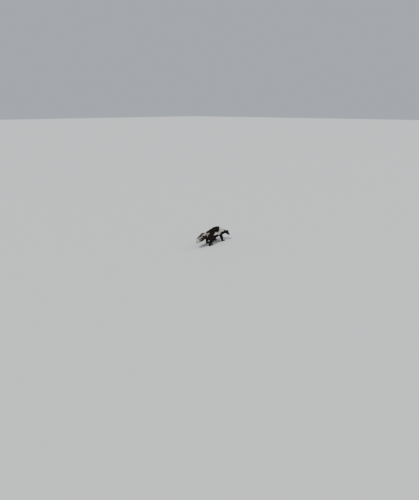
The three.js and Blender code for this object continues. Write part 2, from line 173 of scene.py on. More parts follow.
def splineAt(points, t, centripetal):
    # the curve through the stations, straight past its ends, at the shares t
    p = np.asarray(points, float)
    p = np.vstack([2 * p[0] - p[1], p, 2 * p[-1] - p[-2]])
    n = len(points) - 1
    s = np.clip(np.asarray(t, float), 0, 1) * n
    i = np.minimum(s.astype(int), n - 1)
    w = (s - i)[:, None]
    p0, p1, p2, p3 = p[i], p[i + 1], p[i + 2], p[i + 3]
    if centripetal:
        spans = ((p0, p1), (p1, p2), (p2, p3))
        d0, d1, d2 = (np.linalg.norm(b - a, axis=1)[:, None] ** 0.5 for a, b in spans)
        m1 = ((p1 - p0) / d0 - (p2 - p0) / (d0 + d1) + (p2 - p1) / d1) * d1
        m2 = ((p2 - p1) / d1 - (p3 - p1) / (d1 + d2) + (p3 - p2) / d2) * d1
    else:
        m1, m2 = (p2 - p0) / 2, (p3 - p1) / 2
    return (p1 + m1 * w + (3 * (p2 - p1) - 2 * m1 - m2) * w ** 2
            + (2 * (p1 - p2) + m1 + m2) * w ** 3)


def unit(v):
    return v / np.maximum(np.linalg.norm(v, axis=-1, keepdims=True), 1e-9)


class Form:
    # a limb: a curve of centres with side, top and bottom radii
    def __init__(self, centres, radii, ahead=(0, 0, 1)):
        self.centres, self.radii, self.ahead = centres, radii, np.array(ahead, float)
        fine = splineAt(centres, np.linspace(0, 1, 200), True)
        self.length = np.linalg.norm(np.diff(fine, axis=0), axis=1).sum()

    def frameAt(self, t):
        t = np.asarray(t, float)
        inside = np.clip(t, 0, 1)
        lo, hi = np.clip(inside - 1e-4, 0, 1), np.clip(inside + 1e-4, 0, 1)
        heading = unit(splineAt(self.centres, hi, True) - splineAt(self.centres, lo, True))
        centre = splineAt(self.centres, inside, True) + heading * ((t - inside) * self.length)[:, None]
        side = unit(np.cross(self.ahead, heading))
        up = np.cross(heading, side)
        return centre, heading, side, up, splineAt(self.radii, inside, False)

    def surfaceAt(self, t, turn, high=0.0):
        centre, heading, side, up, radii = self.frameAt(t)
        a = radii[:, 0]
        b = np.where(np.cos(turn) > 0, radii[:, 1], radii[:, 2])
        out = unit(side * (np.sin(turn) / a)[:, None] + up * (np.cos(turn) / b)[:, None])
        at = (centre + side * (a * np.sin(turn))[:, None] + up * (b * np.cos(turn))[:, None]
              + out * np.broadcast_to(high, turn.shape)[:, None])
        return at, out, heading


def legForm(leg):
    centres, radii = [], []
    for x, y, z, foreAft, across in leg["stations"]:
        low = max(0, 1 - z / strideForm["below"])
        centres.append((x + leg["stride"] * min(1, low * strideForm["gain"]), -leg["side"] * y, z))
        radii.append((across, foreAft, foreAft))
    return Form(centres, radii, (1, 0, 0))


trunk = Form([(x, y, h * withers) for x, y, h, w, a, b in trunkStations],
             [(w * trunkHalfWidth, a, b) for x, y, h, w, a, b in trunkStations])
tail = Form([s[:3] for s in tailStations], [(s[3] * tailRadius,) * 3 for s in tailStations])
skull = Form([(x, 0, z) for x, z, *_ in skullStations], [r for x, z, *r in skullStations])
jaw = Form([(x, 0, z) for x, z, *_ in jawStations], [r for x, z, *r in jawStations])
legForms = {name: legForm(leg) for name, leg in legs.items()}
headFrame = (Matrix.Translation(headAt) @ Matrix.Rotation(math.radians(headTurn), 4, "Z")
             @ Matrix.Rotation(math.radians(headTilt), 4, "Y"))


def bareBelow(turn):
    # 0 on the back and flanks, 1 under the belly
    q = np.clip((np.abs(turn) - belly["from"]) / belly["over"], 0, 1)
    return q * q * (3 - 2 * q)


def trunkDepth(t, turn):
    return lookUp(trunkCoatDepth, t) * (1 - belly["thinner"] * bareBelow(turn))


def tailSkinRadius(t):
    return splineAt(tail.radii, t, False)[:, 1] * lookUp(tailCore, t)


# How far the skin stands off the surface of a form: the coat fills up the rest
def trunkSkin(t, turn):
    return -trunkDepth(t, turn)


def tailSkin(t, turn):
    return tailSkinRadius(t) - splineAt(tail.radii, t, False)[:, 1]


def legSkin(t, turn):
    return -lookUp(legCoatDepth, t)


def sunkBy(depth):
    return lambda t, turn: np.full_like(turn, -depth)


# The frame's place of the millimetre forms, found from the left eye, which both have
def onSkull(share, turn, deep):
    at, out, _ = skull.surfaceAt(np.array([share]), np.array([math.radians(turn)]), -deep)
    return Vector(at[0])


eyePlace = {"share": 0.565, "turn": 58, "deep": 2.9, "faces": (0.46, 0.82, 0.34)}
eyeAt = onSkull(eyePlace["share"], eyePlace["turn"], eyePlace["deep"])
eyeLow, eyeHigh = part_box("eye_left")
shift = (eyeLow + eyeHigh) / 2 - (headFrame @ eyeAt) / 1000
toFrame = Matrix.Translation(shift) @ Matrix.Scale(0.001, 4)
headToFrame = toFrame @ headFrame
headSides = (headToFrame, headToFrame @ Matrix.Diagonal((1, -1, 1, 1)))  # left, and mirrored to the right
setCamera(photo, shift + Vector(photo["middle"]))


# Small mesh helpers
def linked(name, mesh):
    item = bpy.data.objects.new(name, mesh)
    bpy.context.scene.collection.objects.link(item)
    return item


def objectOf(name, bm):
    mesh = bpy.data.meshes.new(name)
    bm.to_mesh(mesh)
    bm.free()
    return linked(name, mesh)


def meshObject(name, verts, faces, matrix=None, smooth=True):
    mesh = bpy.data.meshes.new(name)
    mesh.from_pydata([tuple(v) for v in verts], [], faces)
    if matrix is not None:
        mesh.transform(matrix)
    mesh.update()
    if smooth:
        mesh.shade_smooth()
    return linked(name, mesh)


def turnOut(item):
    bm = bmesh.new()
    bm.from_mesh(item.data)
    bmesh.ops.remove_doubles(bm, verts=bm.verts, dist=1e-7)
    bmesh.ops.recalc_face_normals(bm, faces=bm.faces)
    bm.to_mesh(item.data)
    bm.free()


def ringSkin(name, rings, matrix=None, ends=None):
    # rings of equal count, closed by a point before the first and after the last
    n = len(rings[0])
    first, end = ends or (np.mean(rings[0], axis=0), np.mean(rings[-1], axis=0))
    verts = [first] + [v for r in rings for v in r] + [end]
    faces = [(0, 1 + (i + 1) % n, 1 + i) for i in range(n)]
    for row in range(len(rings) - 1):
        a, b = 1 + row * n, 1 + (row + 1) * n
        faces += [(a + i, a + (i + 1) % n, b + (i + 1) % n, b + i) for i in range(n)]
    last = 1 + (len(rings) - 1) * n
    faces += [(last + i, last + (i + 1) % n, len(verts) - 1) for i in range(n)]
    item = meshObject(name, verts, faces, matrix)
    turnOut(item)
    return item


def loft(name, form, sides, steps, high=sunkBy(0), endRound=0.6, caps=4, matrix=toFrame):
    # a form's skin from end to end, with rounded ends
    rings = []
    turns = np.linspace(0, 2 * math.pi, sides, endpoint=False)
    signed = np.where(turns > math.pi, turns - 2 * math.pi, turns)

    def ring(t, share, push):
        at, _, heading = form.surfaceAt(np.full(sides, t), turns, high(np.full(sides, t), signed))
        centre = form.frameAt(np.array([t]))[0][0]
        return centre + (at - centre) * share + heading * push

    def bulge(t):
        share, top = np.array([t]), np.array([0.0])
        at = form.surfaceAt(share, top, high(share, top))[0][0]
        return np.linalg.norm(at - form.frameAt(share)[0][0]) * endRound

    for i in range(1, caps + 1):
        q = i / (caps + 1) * math.pi / 2
        rings.append(ring(0.0, math.sin(q), -math.cos(q) * bulge(0.0)))
    rings += [ring(i / steps, 1, 0) for i in range(steps + 1)]
    for i in range(caps, 0, -1):
        q = i / (caps + 1) * math.pi / 2
        rings.append(ring(1.0, math.sin(q), math.cos(q) * bulge(1.0)))
    return ringSkin(name, rings, matrix)


def ball(name, radii, at, matrix, around=40, down=24):
    # laid ring by ring, so that each run gives its faces in the same order
    rings = []
    for row in range(1, down):
        q = row / down * math.pi
        wide, turns = math.sin(q), np.linspace(0, 2 * math.pi, around, endpoint=False)
        rings.append([(wide * math.cos(u), wide * math.sin(u), math.cos(q)) for u in turns])
    place = Matrix.Translation(at) @ Matrix.Diagonal((*radii, 1))
    return ringSkin(name, rings, matrix @ place, ends=((0, 0, 1), (0, 0, -1)))


def valuesOf(items, name, width=1, kind=float):
    values = np.empty(len(items) * width, kind)
    items.foreach_get(name, values)
    return values.reshape(-1, width) if width > 1 else values


def finished(item, material):
    # one material, on every face
    item.data.materials.clear()
    item.data.materials.append(material)
    item.data.polygons.foreach_set("material_index", np.zeros(len(item.data.polygons), np.int32))
    item.data.shade_smooth()
    return item


def dropped(item):
    mesh = item.data
    bpy.data.objects.remove(item)
    if mesh.users == 0:
        bpy.data.meshes.remove(mesh)


def joined(name, items):
    bm = bmesh.new()
    for item in items:
        bm.from_mesh(item.data)
    made = objectOf(name, bm)
    for item in items:
        dropped(item)
    return made


def applied(item):
    # the object's evaluated mesh takes the place of its modifiers
    graph = bpy.context.evaluated_depsgraph_get()
    mesh = bpy.data.meshes.new_from_object(item.evaluated_get(graph))
    item.modifiers.clear()
    old = item.data
    item.data = mesh
    bpy.data.meshes.remove(old)
    return item


def remeshed(item, voxel, smoothing):
    step = item.modifiers.new("remesh", "REMESH")
    step.mode = "VOXEL"
    step.voxel_size = voxel
    ease = item.modifiers.new("ease", "SMOOTH")
    ease.factor = 0.5
    ease.iterations = smoothing
    return applied(item)


def cut(item, cutter, operation="DIFFERENCE"):
    step = item.modifiers.new("cut", "BOOLEAN")
    step.operation = operation
    step.solver = "MANIFOLD"
    step.object = cutter
    applied(item)
    dropped(cutter)
    return item


noseForm = {
    "at": (78.2, 0, -10.3), "radii": (4.8, 5.6, 4.5),
    "sunk": 0.15,  # into the head
    "groove": {"half": 0.6, "from": 1.8, "over": 2, "reach": 5, "deep": 1.5},
    "wing": {"at": (4.4, 1.2), "size": (1.5, 2.0), "ahead": 0.3, "aside": 0.35},  # y and z, over the nostril
    "front": {"from": 2.6, "flat": 0.35},
    "nostril": [(5.6, 2.3, -0.1, 1.1), (2.8, 2.7, 0.2, 1.05), (2.1, 4.5, 0.6, 0.8), (0.9, 6.1, 1.2, 0.45)],
}

# Head: skull, jaw, brows, cheeks and lips are grown together, then lids, ears and mouth are cut
headForm = {
    "voxel": 0.00095, "smoothing": 4,
    "lid": 1.0,  # thickness over the eye
    "opening": {"half": 3.7, "above": 2.7, "below": 2.1, "corner": 0.25, "deep": (0.5, 9)},  # of the eye
    "socketGap": 0.12,
    "brow": ((7.5, 4.2, 2.6), (-0.6, -1.4, 3.4)),  # radii, and place from the eye
    "cheek": ((15, 8.5, 10), (33, 17.5, -10)),  # radii and place
    "whiskerPad": ((9.5, 5.4, 5), (68, 6.2, -14)),
    "earAt": (0.2, 68, 3),  # share, turn and depth on the skull
    "earTilt": (-42, -16, -20),
    "ear": ((3.6, 10.0, 11.6), (0, 0, 6.5)),  # radii and place in the ear's own frame
    "hollow": ((5.0, 8.6, 10.0), (3.4, 0, 7.6)),
    "mouth": [(43, 12.4, -18.4), (51, 11.6, -18.4), (60, 9.5, -18), (69, 7.4, -17.4), (75.4, 3.2, -17)],
    "lips": [(1.7, 1.3, 0, 0), (-1.5, 1.0, -0.5, -1.5)],  # lift, radius, aside and ahead of the mouth's line
    "slit": (0.1, 0.55, 1.5, 1.2),  # the same
}
earTurn = (Matrix.Rotation(math.radians(headForm["earTilt"][2]), 4, "Z")
           @ Matrix.Rotation(math.radians(headForm["earTilt"][0]), 4, "X")
           @ Matrix.Rotation(math.radians(headForm["earTilt"][1]), 4, "Y"))
earFrame = Matrix.Translation(onSkull(*headForm["earAt"])) @ earTurn


def eyeOpening(matrix):
    # a lens-shaped prism that looks out of the socket
    face = Vector(eyePlace["faces"]).normalized()
    level = Vector((0, 0, 1)).cross(face).normalized()
    rise = face.cross(level)
    opening = headForm["opening"]
    outline = []
    for i in range(24):
        q = i / 24 * 2 * math.pi
        high = opening["above"] if math.sin(q) > 0 else opening["below"]
        narrowed = 1 - opening["corner"] * abs(math.cos(q)) ** 3
        outline.append((opening["half"] * math.cos(q), high * math.sin(q) * narrowed))
    rings = [[eyeAt + level * x + rise * y + face * out for x, y in outline] for out in opening["deep"]]
    return ringSkin("opening", rings, matrix)


def mouthTube(lift, radius, aside, ahead):
    half = [(x + ahead, y + aside, z + lift) for x, y, z in headForm["mouth"]]
    line = half + [(x, -y, z) for x, y, z in reversed(half)]
    return loft("mouth", Form(line, [(radius,) * 3] * len(line)), 10, 60, caps=1, matrix=headToFrame)


def earBall(name, side):
    radii, at = headForm[name]
    return ball(name, radii, (0, 0, 0), side @ earFrame @ Matrix.Translation(at))


def buildHead():
    parts = [
        loft("skull", skull, 64, 70, sunkBy(furOnHead), matrix=headToFrame),
        loft("jaw", jaw, 40, 40, sunkBy(furOnJaw), matrix=headToFrame),
        *(mouthTube(*lip) for lip in headForm["lips"]),
    ]
    browRadii, fromEye = headForm["brow"]
    for name, radii, at in (("lids", (eyeRadius + headForm["lid"],) * 3, eyeAt),
                            ("brow", browRadii, eyeAt + Vector(fromEye)),
                            ("cheek", *headForm["cheek"]),
                            ("whisker pad", *headForm["whiskerPad"])):
        parts += [ball(name, radii, at, side) for side in headSides]
    parts += [earBall("ear", side) for side in headSides]
    head = remeshed(joined("head", parts), headForm["voxel"], headForm["smoothing"])
    cutters = [earBall("hollow", side) for side in headSides]
    cutters += [ball("socket", (eyeRadius + headForm["socketGap"],) * 3, eyeAt, side) for side in headSides]
    cutters += [eyeOpening(side) for side in headSides]
    cutters.append(mouthTube(*headForm["slit"]))
    noseRoom = [r - noseForm["sunk"] for r in noseForm["radii"]]
    cutters.append(ball("nose room", noseRoom, noseForm["at"], headToFrame))
    for cutter in cutters:
        cut(head, cutter)
    return head


# Paws: a sole, five toes and their claws
def pawForms(paw):
    heel, sole, toe, width, toes = (paw[k] for k in ("heel", "sole", "toe", "width", "toes"))
    pad = Form([(-heel, 0, 8), (sole * 0.4, 0, 8.6), (sole, 0, 5.6)],
               [(7.4, 7, 8.6), (width * 0.45, 8.6, 9.2), (width * 0.5, 5.4, 6.2)])
    fingers = []
    for i in range(toes):
        across = i / (toes - 1) - 0.5
        reach = sole + toe * (1 - 1.9 * across * across)
        root = (sole - 6, across * width * 0.8, 4.8)
        tip = (reach, across * width * 1.16, 4.2)
        bend = math.atan2(across * width * 0.36, toe)
        fingers.append((Form([root, tip], [(3.4, 3.8, 5), (3, 3.2, 4.4)]), tip, bend))
    return pad, fingers


def pawPlace(name):
    ankle = splineAt(legForms[name].centres, np.array([1.0]), True)[0]
    return toFrame @ Matrix.Translation((ankle[0], ankle[1], 0))


def buildPaw(name, paw):
    place = pawPlace(name)
    pad, fingers = pawForms(paw)
    parts = [loft("pad", pad, 32, 16, sunkBy(furOnPaw), matrix=place)]
    for finger, tip, bend in fingers:
        parts.append(loft("toe", finger, 20, 8, sunkBy(furOnPaw), endRound=1.0, matrix=place))
    return parts


def flattened(item, floorZ):
    # what would sink under the floor is pressed flat on it
    for v in item.data.vertices:
        v.co.z = max(v.co.z, floorZ)
    return item


# Skin: every part of flesh grown into one closed surface
skinForm = {"voxel": 0.0019, "smoothing": 5, "pawVoxel": 0.0013, "pawSmoothing": 3, "offFloor": 0.0002}


def buildSkin():
    parts = [
        loft("trunk", trunk, 96, 110, trunkSkin, endRound=0.5),
        loft("tail", tail, 48, 90, tailSkin),
        *(loft(name, legForms[name], 48, 60, legSkin, endRound=0.3) for name in legs),
    ]
    body = remeshed(joined("skin", parts), skinForm["voxel"], skinForm["smoothing"])
    for name, leg in legs.items():
        paw = joined("paw", buildPaw(name, leg["paw"]))
        cut(body, remeshed(paw, skinForm["pawVoxel"], skinForm["pawSmoothing"]), "UNION")
    skin = cut(body, buildHead(), "UNION")
    skin.name = "skin"
    turnOut(skin)
    return flattened(skin, shift.z + skinForm["offFloor"])


skin = buildSkin()
print("skin grown:", len(skin.data.polygons), "faces")


# Where each point of the skin lies: its form, the share along it and the turn from its top
def formPlaces():
    names, places = [], []
    grid = [("trunk", trunk, toFrame, trunkSkin, 0.0, 0.97, 90, 64),
            ("tail", tail, toFrame, tailSkin, 0.08, 1.0, 90, 40),
            ("head", skull, headToFrame, sunkBy(furOnHead), 0.0, 1.0, 80, 64)]
    grid += [(name, form, toFrame, sunkBy(2.0), 0.08, 1.0, 50, 32) for name, form in legForms.items()]
    for name, form, matrix, high, start, end, along, around in grid:
        turns = np.linspace(-math.pi, math.pi, around, endpoint=False)
        t, turn = (v.ravel() for v in np.meshgrid(np.linspace(start, end, along), turns))
        at, out, heading = form.surfaceAt(t, turn, high(t, turn))
        m = np.array(matrix)
        at = at @ m[:3, :3].T + m[:3, 3]
        heading = unit(heading @ m[:3, :3].T)
        names += [name] * len(t)
        places.append(np.column_stack([at, t, turn, heading]))
    return np.array(names), np.vstack(places)


def evened(values, rounds, share=0.5):
    # neighbours share their values over the skin's edges
    a, b = valuesOf(skin.data.edges, "vertices", 2, int).T
    n = len(values)
    count = (np.bincount(a, minlength=n) + np.bincount(b, minlength=n)).astype(float)
    flat = values.reshape(n, -1).copy()
    part = np.broadcast_to(np.asarray(share, float), (n,))[:, None]
    for _ in range(rounds):
        total = np.column_stack([np.bincount(a, v[b], n) + np.bincount(b, v[a], n) for v in flat.T])
        flat += part * (total / count[:, None] - flat)
    return flat.reshape(values.shape)


def placeSkin():
    # the nearest form of each point, and how near the next one is
    names, places = formPlaces()
    co = valuesOf(skin.data.vertices, "co", 3)
    gaps, nears = [], []
    for group in (("trunk",), ("tail",), ("head",), tuple(legForms)):
        chosen = np.nonzero(np.isin(names, group))[0]
        tree = kdtree.KDTree(len(chosen))
        for i in chosen:
            tree.insert(places[i, :3], i)
        tree.balance()
        found = [tree.find(c)[1:] for c in co]
        nears.append([f[0] for f in found])
        gaps.append([f[1] for f in found])
    gaps, nears = np.array(gaps) * 1000, np.array(nears)
    near = nears[gaps.argmin(axis=0), np.arange(len(co))]
    return co, names[near], places[near, 3], places[near, 4], places[near, 5:8], np.sort(gaps, axis=0)[1]


joinForm = {
    "from": 5, "to": 17, "rounds": 40,  # millimetres to the next form, and how long it is eased
    "strength": 0.6,
    "face": 30,  # millimetres along the head, from where it keeps its form
    "low": 0.03,  # metres, below which the feet keep theirs
    "wrist": {"height": 15, "half": 8, "reach": 20},  # leg and paw are eased here all the same
    "tail": {"root": (-132, 0, 117), "reach": 50, "over": 16, "rounds": 110},
}
pawTop = 0.016  # metres above the floor
earBox = {"cup": (5.5, 11.6, 2.5, 20), "around": (9, 14, -4)}  # x, y, and z from and to, in the ear's frame
co, region, share, turn, heading, nextForm = placeSkin()
inHead = np.array([headToFrame.inverted() @ Vector(c) for c in co])
inEars = [np.array([(side @ earFrame).inverted() @ Vector(c) for c in co]) for side in headSides]
isEar, nearEar = np.zeros(len(co), bool), np.zeros(len(co), bool)
for x, y, z in (local.T for local in inEars):
    thick, wide, low, high = earBox["cup"]
    isEar |= (np.abs(x) < thick) & (np.abs(y) < wide) & (z > low) & (z < high)
    thick, wide, low = earBox["around"]
    nearEar |= (np.abs(x) < thick) & (np.abs(y) < wide) & (z > low)
region = np.where((region == "head") & isEar, "ear", region)
ease = np.clip((joinForm["to"] - nextForm) / (joinForm["to"] - joinForm["from"]), 0, 1)
isFace = (inHead[:, 0] > joinForm["face"]) & (region == "head")
ease[nearEar | isFace | (co[:, 2] < shift.z + joinForm["low"])] = 0
wrist = joinForm["wrist"]
for leg in legs:
    fromAnkle = (co - np.array(pawPlace(leg).translation)) * 1000
    near = np.clip(1.5 - np.abs(fromAnkle[:, 2] - wrist["height"]) / wrist["half"], 0, 1)
    close = np.linalg.norm(fromAnkle[:, :2], axis=1) < wrist["reach"]
    ease = np.where(close, np.maximum(ease, near), ease)
co = evened(co, joinForm["rounds"], joinForm["strength"] * ease)
tailJoin = joinForm["tail"]
fromRoot = np.linalg.norm((co - np.array(shift)) * 1000 - np.array(tailJoin["root"]), axis=1)
ease = np.clip((tailJoin["reach"] - fromRoot) / tailJoin["over"], 0, 1)
co = evened(co, tailJoin["rounds"], joinForm["strength"] * ease)
skin.data.vertices.foreach_set("co", co.ravel())
skin.data.update()
isFore, isHind = (np.char.startswith(region, end) for end in ("fore", "hind"))
isPaw = (co[:, 2] < shift.z + pawTop) & (isFore | isHind)
leftSign = np.sign(trunk.surfaceAt(np.array([0.5]), np.array([1.0]))[0][0, 1])
print("skin placed:", {name: int((region == name).sum()) for name in np.unique(region)})

# Markings: white crown and nape that part into two stripes, a patch on the rump, and the tail's line and tip
# By the share of the length, degrees from the top of the body to a mark's middle, and half its width
marks = {
    "rightMiddle": [(0, 34), (0.1, 28), (0.18, 23), (0.25, 20), (0.28, 26), (0.32, 72), (0.38, 77),
                    (0.44, 82), (0.5, 91), (0.56, 89), (0.6, 84), (0.64, 68), (0.7, 50), (0.82, 14), (1, 0)],
    "rightHalf": [(0, 17), (0.1, 17), (0.18, 16), (0.22, 11), (0.25, -8), (0.29, -8), (0.32, 6), (0.37, 14),
                  (0.44, 17), (0.5, 19), (0.545, 26), (0.6, 34), (0.64, 36), (0.7, 48), (0.82, 62), (1, 64)],
    "leftMiddle": [(0, 42), (0.12, 38), (0.5, 38), (0.6, 44), (0.68, 48), (0.74, 34), (0.82, 10), (1, 0)],
    "leftHalf": [(0, 16), (0.06, 18), (0.3, 22), (0.55, 25), (0.67, 38), (0.73, 50), (0.82, 60), (1, 62)],
    "capHalf": [(-20, 56), (0, 49), (10, 39), (20, 26), (28, 8), (34, 4.5), (70, 4.5), (74, 0),
                (90, -9)],  # by head x
    "capDeep": 12,  # millimetres below the head's middle, from where the cap's angle is taken
    "tailRight": [(0, 40), (0.1, 42), (0.2, 50), (0.3, 57), (0.45, 63), (1, 63)],
    "tailLeft": [(0, 40), (1, 52)],
    "tailHalf": [(0, 26), (0.1, 24), (0.18, 16), (0.28, 9), (0.5, 8), (0.57, 16), (0.64, 80), (1, 90)],
    "whiteFrom": 0.7,  # share of the tail
    "soft": 6,
}


def onLeft(turns):
    return turns * leftSign > 0


def whiteness():
    angle = np.abs(np.degrees(turn))
    tone = np.zeros(len(co))
    left, right = (lookUp(marks[side + "Half"], share) - np.abs(angle - lookUp(marks[side + "Middle"], share))
                   for side in ("left", "right"))
    stripe = np.where(onLeft(turn), left, right)
    middle = np.where(onLeft(turn), lookUp(marks["tailLeft"], share), lookUp(marks["tailRight"], share))
    line = lookUp(marks["tailHalf"], share) - np.abs(angle - middle)
    brush = np.where(share > marks["whiteFrom"], marks["soft"], line)
    above = np.maximum(inHead[:, 2] + marks["capDeep"], 0.1)
    cap = lookUp(marks["capHalf"], inHead[:, 0]) - np.degrees(np.arctan2(np.abs(inHead[:, 1]), above))
    for name, edge in (("trunk", stripe), ("tail", brush), ("head", cap)):
        here = region == name
        tone[here] = np.clip(edge[here] / marks["soft"] + 0.5, 0, 1)
    return tone


# Coat: which way the hair lies and how long, wide and high it is, all over the skin, in millimetres
hair = {
    "trunkLength": [(0, 44), (0.15, 42), (0.4, 34), (0.6, 26), (0.74, 17), (0.9, 13), (1, 10)],
    "trunkWidth": [(0, 2.3), (0.7, 1.9), (1, 1.3)],
    "tailLength": [(0.08, 22), (0.2, 40), (0.36, 60), (0.6, 60), (0.8, 38), (1, 15)],
    "tailWidth": [(0.6, 1.8), (0.85, 1.2)],
    "tailRise": [(0.1, 0.35), (0.2, 0.6), (0.4, 1)],  # share of the room between flesh and outline
    "tailEnd": [(0.75, 0), (1, 7)],  # more of it at the tip
    "legLength": [(0, 30), (0.45, 24), (0.7, 15), (0.88, 10), (1, 6)],
    "legWidth": [(0, 1.6), (0.7, 1.1), (1, 0.8)],
    "headLength": [(-20, 14), (0, 12), (20, 8), (45, 4.5), (60, 3), (80, 1.8)],  # by head x, as the next two
    "headHeight": [(-10, 2.4), (20, 1.4), (60, 0.9), (80, 0.5)],
    "headWidth": [(-10, 1.7), (15, 1.15), (50, 0.8), (80, 0.55)],
    "paw": (3.6, 0.7, 0.65), "ear": (2.8, 0.45, 0.7), "other": (6.0, 1.0, 1.0),  # length, height and width
    "over": {"trunk": 0.6, "leg": 0.5},  # height above the coat's depth
    "droop": 0.28, "rumpDroop": 0.7, "rump": 0.07,
    "eye": {"reach": 11, "over": 5, "away": 1.6, "shorter": 0.55, "lower": 0.45},
    # the rump's hair runs over the tail's root and on along the tail
    "root": {"at": (-138, 0, 124), "reach": 70, "over": 24, "above": 88, "aboveOver": 16,
             "along": (-1, 0, 0.05), "apart": 0.4, "strength": 2.2},
}


def coatFields():
    n = len(co)
    up = np.zeros((n, 3))
    up[:, 2] = 1
    lie = -heading.copy()
    length, height, width = (np.full(n, v) for v in hair["other"])
    here = region == "trunk"
    rump = np.clip((hair["rump"] - share) / hair["rump"], 0, 1)
    lie[here] += (-up * (np.abs(np.sin(turn)) * hair["droop"] + hair["rumpDroop"] * rump)[:, None])[here]
    root, body = hair["root"], (co - np.array(shift)) * 1000
    fromRoot = body - np.array(root["at"])
    overRoot = np.clip((root["reach"] - np.linalg.norm(fromRoot, axis=1)) / root["over"], 0, 1)
    overRoot *= np.clip((body[:, 2] - root["above"]) / root["aboveOver"], 0, 1)
    toTail = unit(np.array(root["along"]) - root["apart"] * unit(fromRoot))
    lie[here] += (toTail * root["strength"] * overRoot[:, None])[here]
    length[here] = lookUp(hair["trunkLength"], share[here]) * (1 - belly["shorter"] * bareBelow(turn[here]))
    height[here] = trunkDepth(share, turn)[here] + hair["over"]["trunk"]
    width[here] = lookUp(hair["trunkWidth"], share[here])
    here = region == "tail"
    along = share[here]
    lie[here] = heading[here]
    length[here] = lookUp(hair["tailLength"], along)
    full = splineAt(tail.radii, along, False)[:, 1]
    height[here] = full - tailSkinRadius(along) + lookUp(hair["tailEnd"], along)
    height[here] *= lookUp(hair["tailRise"], along)
    width[here] = lookUp(hair["tailWidth"], along)
    for name in legs:
        here = region == name
        lie[here] = heading[here]
        lie[here & isPaw] = (1, 0, 0)
        length[here] = lookUp(hair["legLength"], share[here])
        height[here] = lookUp(legCoatDepth, share[here]) + hair["over"]["leg"]
        width[here] = lookUp(hair["legWidth"], share[here])
        length[here & isPaw], height[here & isPaw], width[here & isPaw] = hair["paw"]
    here = region == "head"
    for values, table in ((length, "headLength"), (height, "headHeight"), (width, "headWidth")):
        values[here] = lookUp(hair[table], inHead[here, 0])
    eye = hair["eye"]
    for side in (1, -1):
        fromEye = inHead - np.array((eyeAt.x, eyeAt.y * side, eyeAt.z))
        near = np.clip((eye["reach"] - np.linalg.norm(fromEye, axis=1)) / eye["over"], 0, 1) * here
        away = fromEye @ np.array(headFrame.to_3x3()).T
        lie += unit(away) * (eye["away"] * near)[:, None]
        length *= 1 - eye["shorter"] * near
        height *= 1 - eye["lower"] * near
    for side, chosen in zip(headSides, (inHead[:, 1] > 0, inHead[:, 1] <= 0)):
        lie[(region == "ear") & chosen] = unit(np.array((side @ earFrame).to_3x3() @ Vector((0, 0, 1))))
    here = region == "ear"
    length[here], height[here], width[here] = hair["ear"]
    return unit(lie), length, height, width


variety = {  # seed, length of the waves in millimetres, strength
    "lie": (3, 55, 0.2), "lieFine": (4, 22, 0.1), "length": (5, 40, 0.14), "height": (6, 45, 0.16),
    # brown: waves in the painted sheen on the black coat
    "sheenBrown": (7, 50, 0.12),
}
# Painted sheen: how much brown goes on the black hair where light glances off it, most on the tail, the rump
# and the hind legs
paintedSheen = {"tail": 0.85, "trunk": [(0.1, 0.75), (0.34, 0.1)], "hindLegs": 0.45, "other": 0.08}
looseHair = {"tail": [(0.5, 0), (0.75, 1)], "ear": 0.6}  # how freely a tuft leaves the skin


def drift(seed, size, strength):
    # slow waves over the skin
    draw = np.random.default_rng(seed)
    ways = unit(draw.normal(size=(7, 3))) * (2 * math.pi / size * draw.uniform(0.6, 1.5, (7, 1)))
    return strength * (np.sin(co * 1000 @ ways.T + draw.uniform(0, 6.3, 7)).sum(axis=1) / 2.6)


def keepOnPoints(mesh, name, values):
    kind = "FLOAT_VECTOR" if values.ndim == 2 else "FLOAT"
    layer = mesh.attributes.new(name, kind, "POINT")
    layer.data.foreach_set("vector" if values.ndim == 2 else "value", values.astype(np.float32).ravel())


# Places on the sheet are shares of it, start and span; sizes of what lies there are millimetres
sheetForm = {
    "edge": 0.02, "span": 0.96, "head": (0.2, 0.78), "leg": (0.3, 0.68), "legCell": (0.06, 0.88),
    "paw": (0.06, 0.2), "pawSize": (90, 40), "heel": 25,
    "ears": (0.06, 0.56), "earSize": (24, 20), "earSpan": (0.16, 0.12), "earFront": 0.22, "earMiddle": 0.6,
}


def unwrapSkin():
    # each corner's place on the skin's own unwrap
    mesh, form = skin.data, sheetForm
    corners = valuesOf(mesh.loops, "vertex_index", 1, int)
    starts = valuesOf(mesh.polygons, "loop_start", 1, int)
    faceOf = np.repeat(np.arange(len(mesh.polygons)), valuesOf(mesh.polygons, "loop_total", 1, int))
    firstTurn = turn[corners[starts]][faceOf]
    cornerTurn = turn[corners]
    cornerTurn = firstTurn + (cornerTurn - firstTurn + math.pi) % (2 * math.pi) - math.pi
    u = np.clip((cornerTurn + math.pi) / (2 * math.pi), 0, 1)
    v = np.clip(share[corners], 0, 1)
    place = np.column_stack([form["edge"] + form["span"] * u, form["edge"] + form["span"] * v])
    name = region[corners]
    for i, leg in enumerate(legs):
        here = name == leg
        place[here] = np.column_stack([(i + form["legCell"][0] + form["legCell"][1] * u[here]) / 4,
                                       form["leg"][0] + form["leg"][1] * v[here]])
        foot = here & isPaw[corners]
        x, y, _ = ((co[corners[foot]] - np.array(pawPlace(leg).translation)) * 1000).T
        long, wide = form["pawSize"]
        place[foot] = np.column_stack([(i + 0.5 + y / wide) / 4,
                                       form["paw"][0] + (x + form["heel"]) / long * form["paw"][1]])
    for local, cell, onSide in zip(inEars, form["ears"], (inHead[:, 1] > 0, inHead[:, 1] <= 0)):
        here = (name == "ear") & onSide[corners]
        x, y, z = local[corners[here]].T
        wide, high = form["earSize"]
        place[here] = np.column_stack([
            cell + (y + wide / 2) / wide * form["earSpan"][0] + form["earFront"] * (x > form["earMiddle"]),
            form["edge"] + z / high * form["earSpan"][1]])
    face = name == "head"
    place[face, 1] = form["head"][0] + form["head"][1] * v[face]
    return place, corners, starts


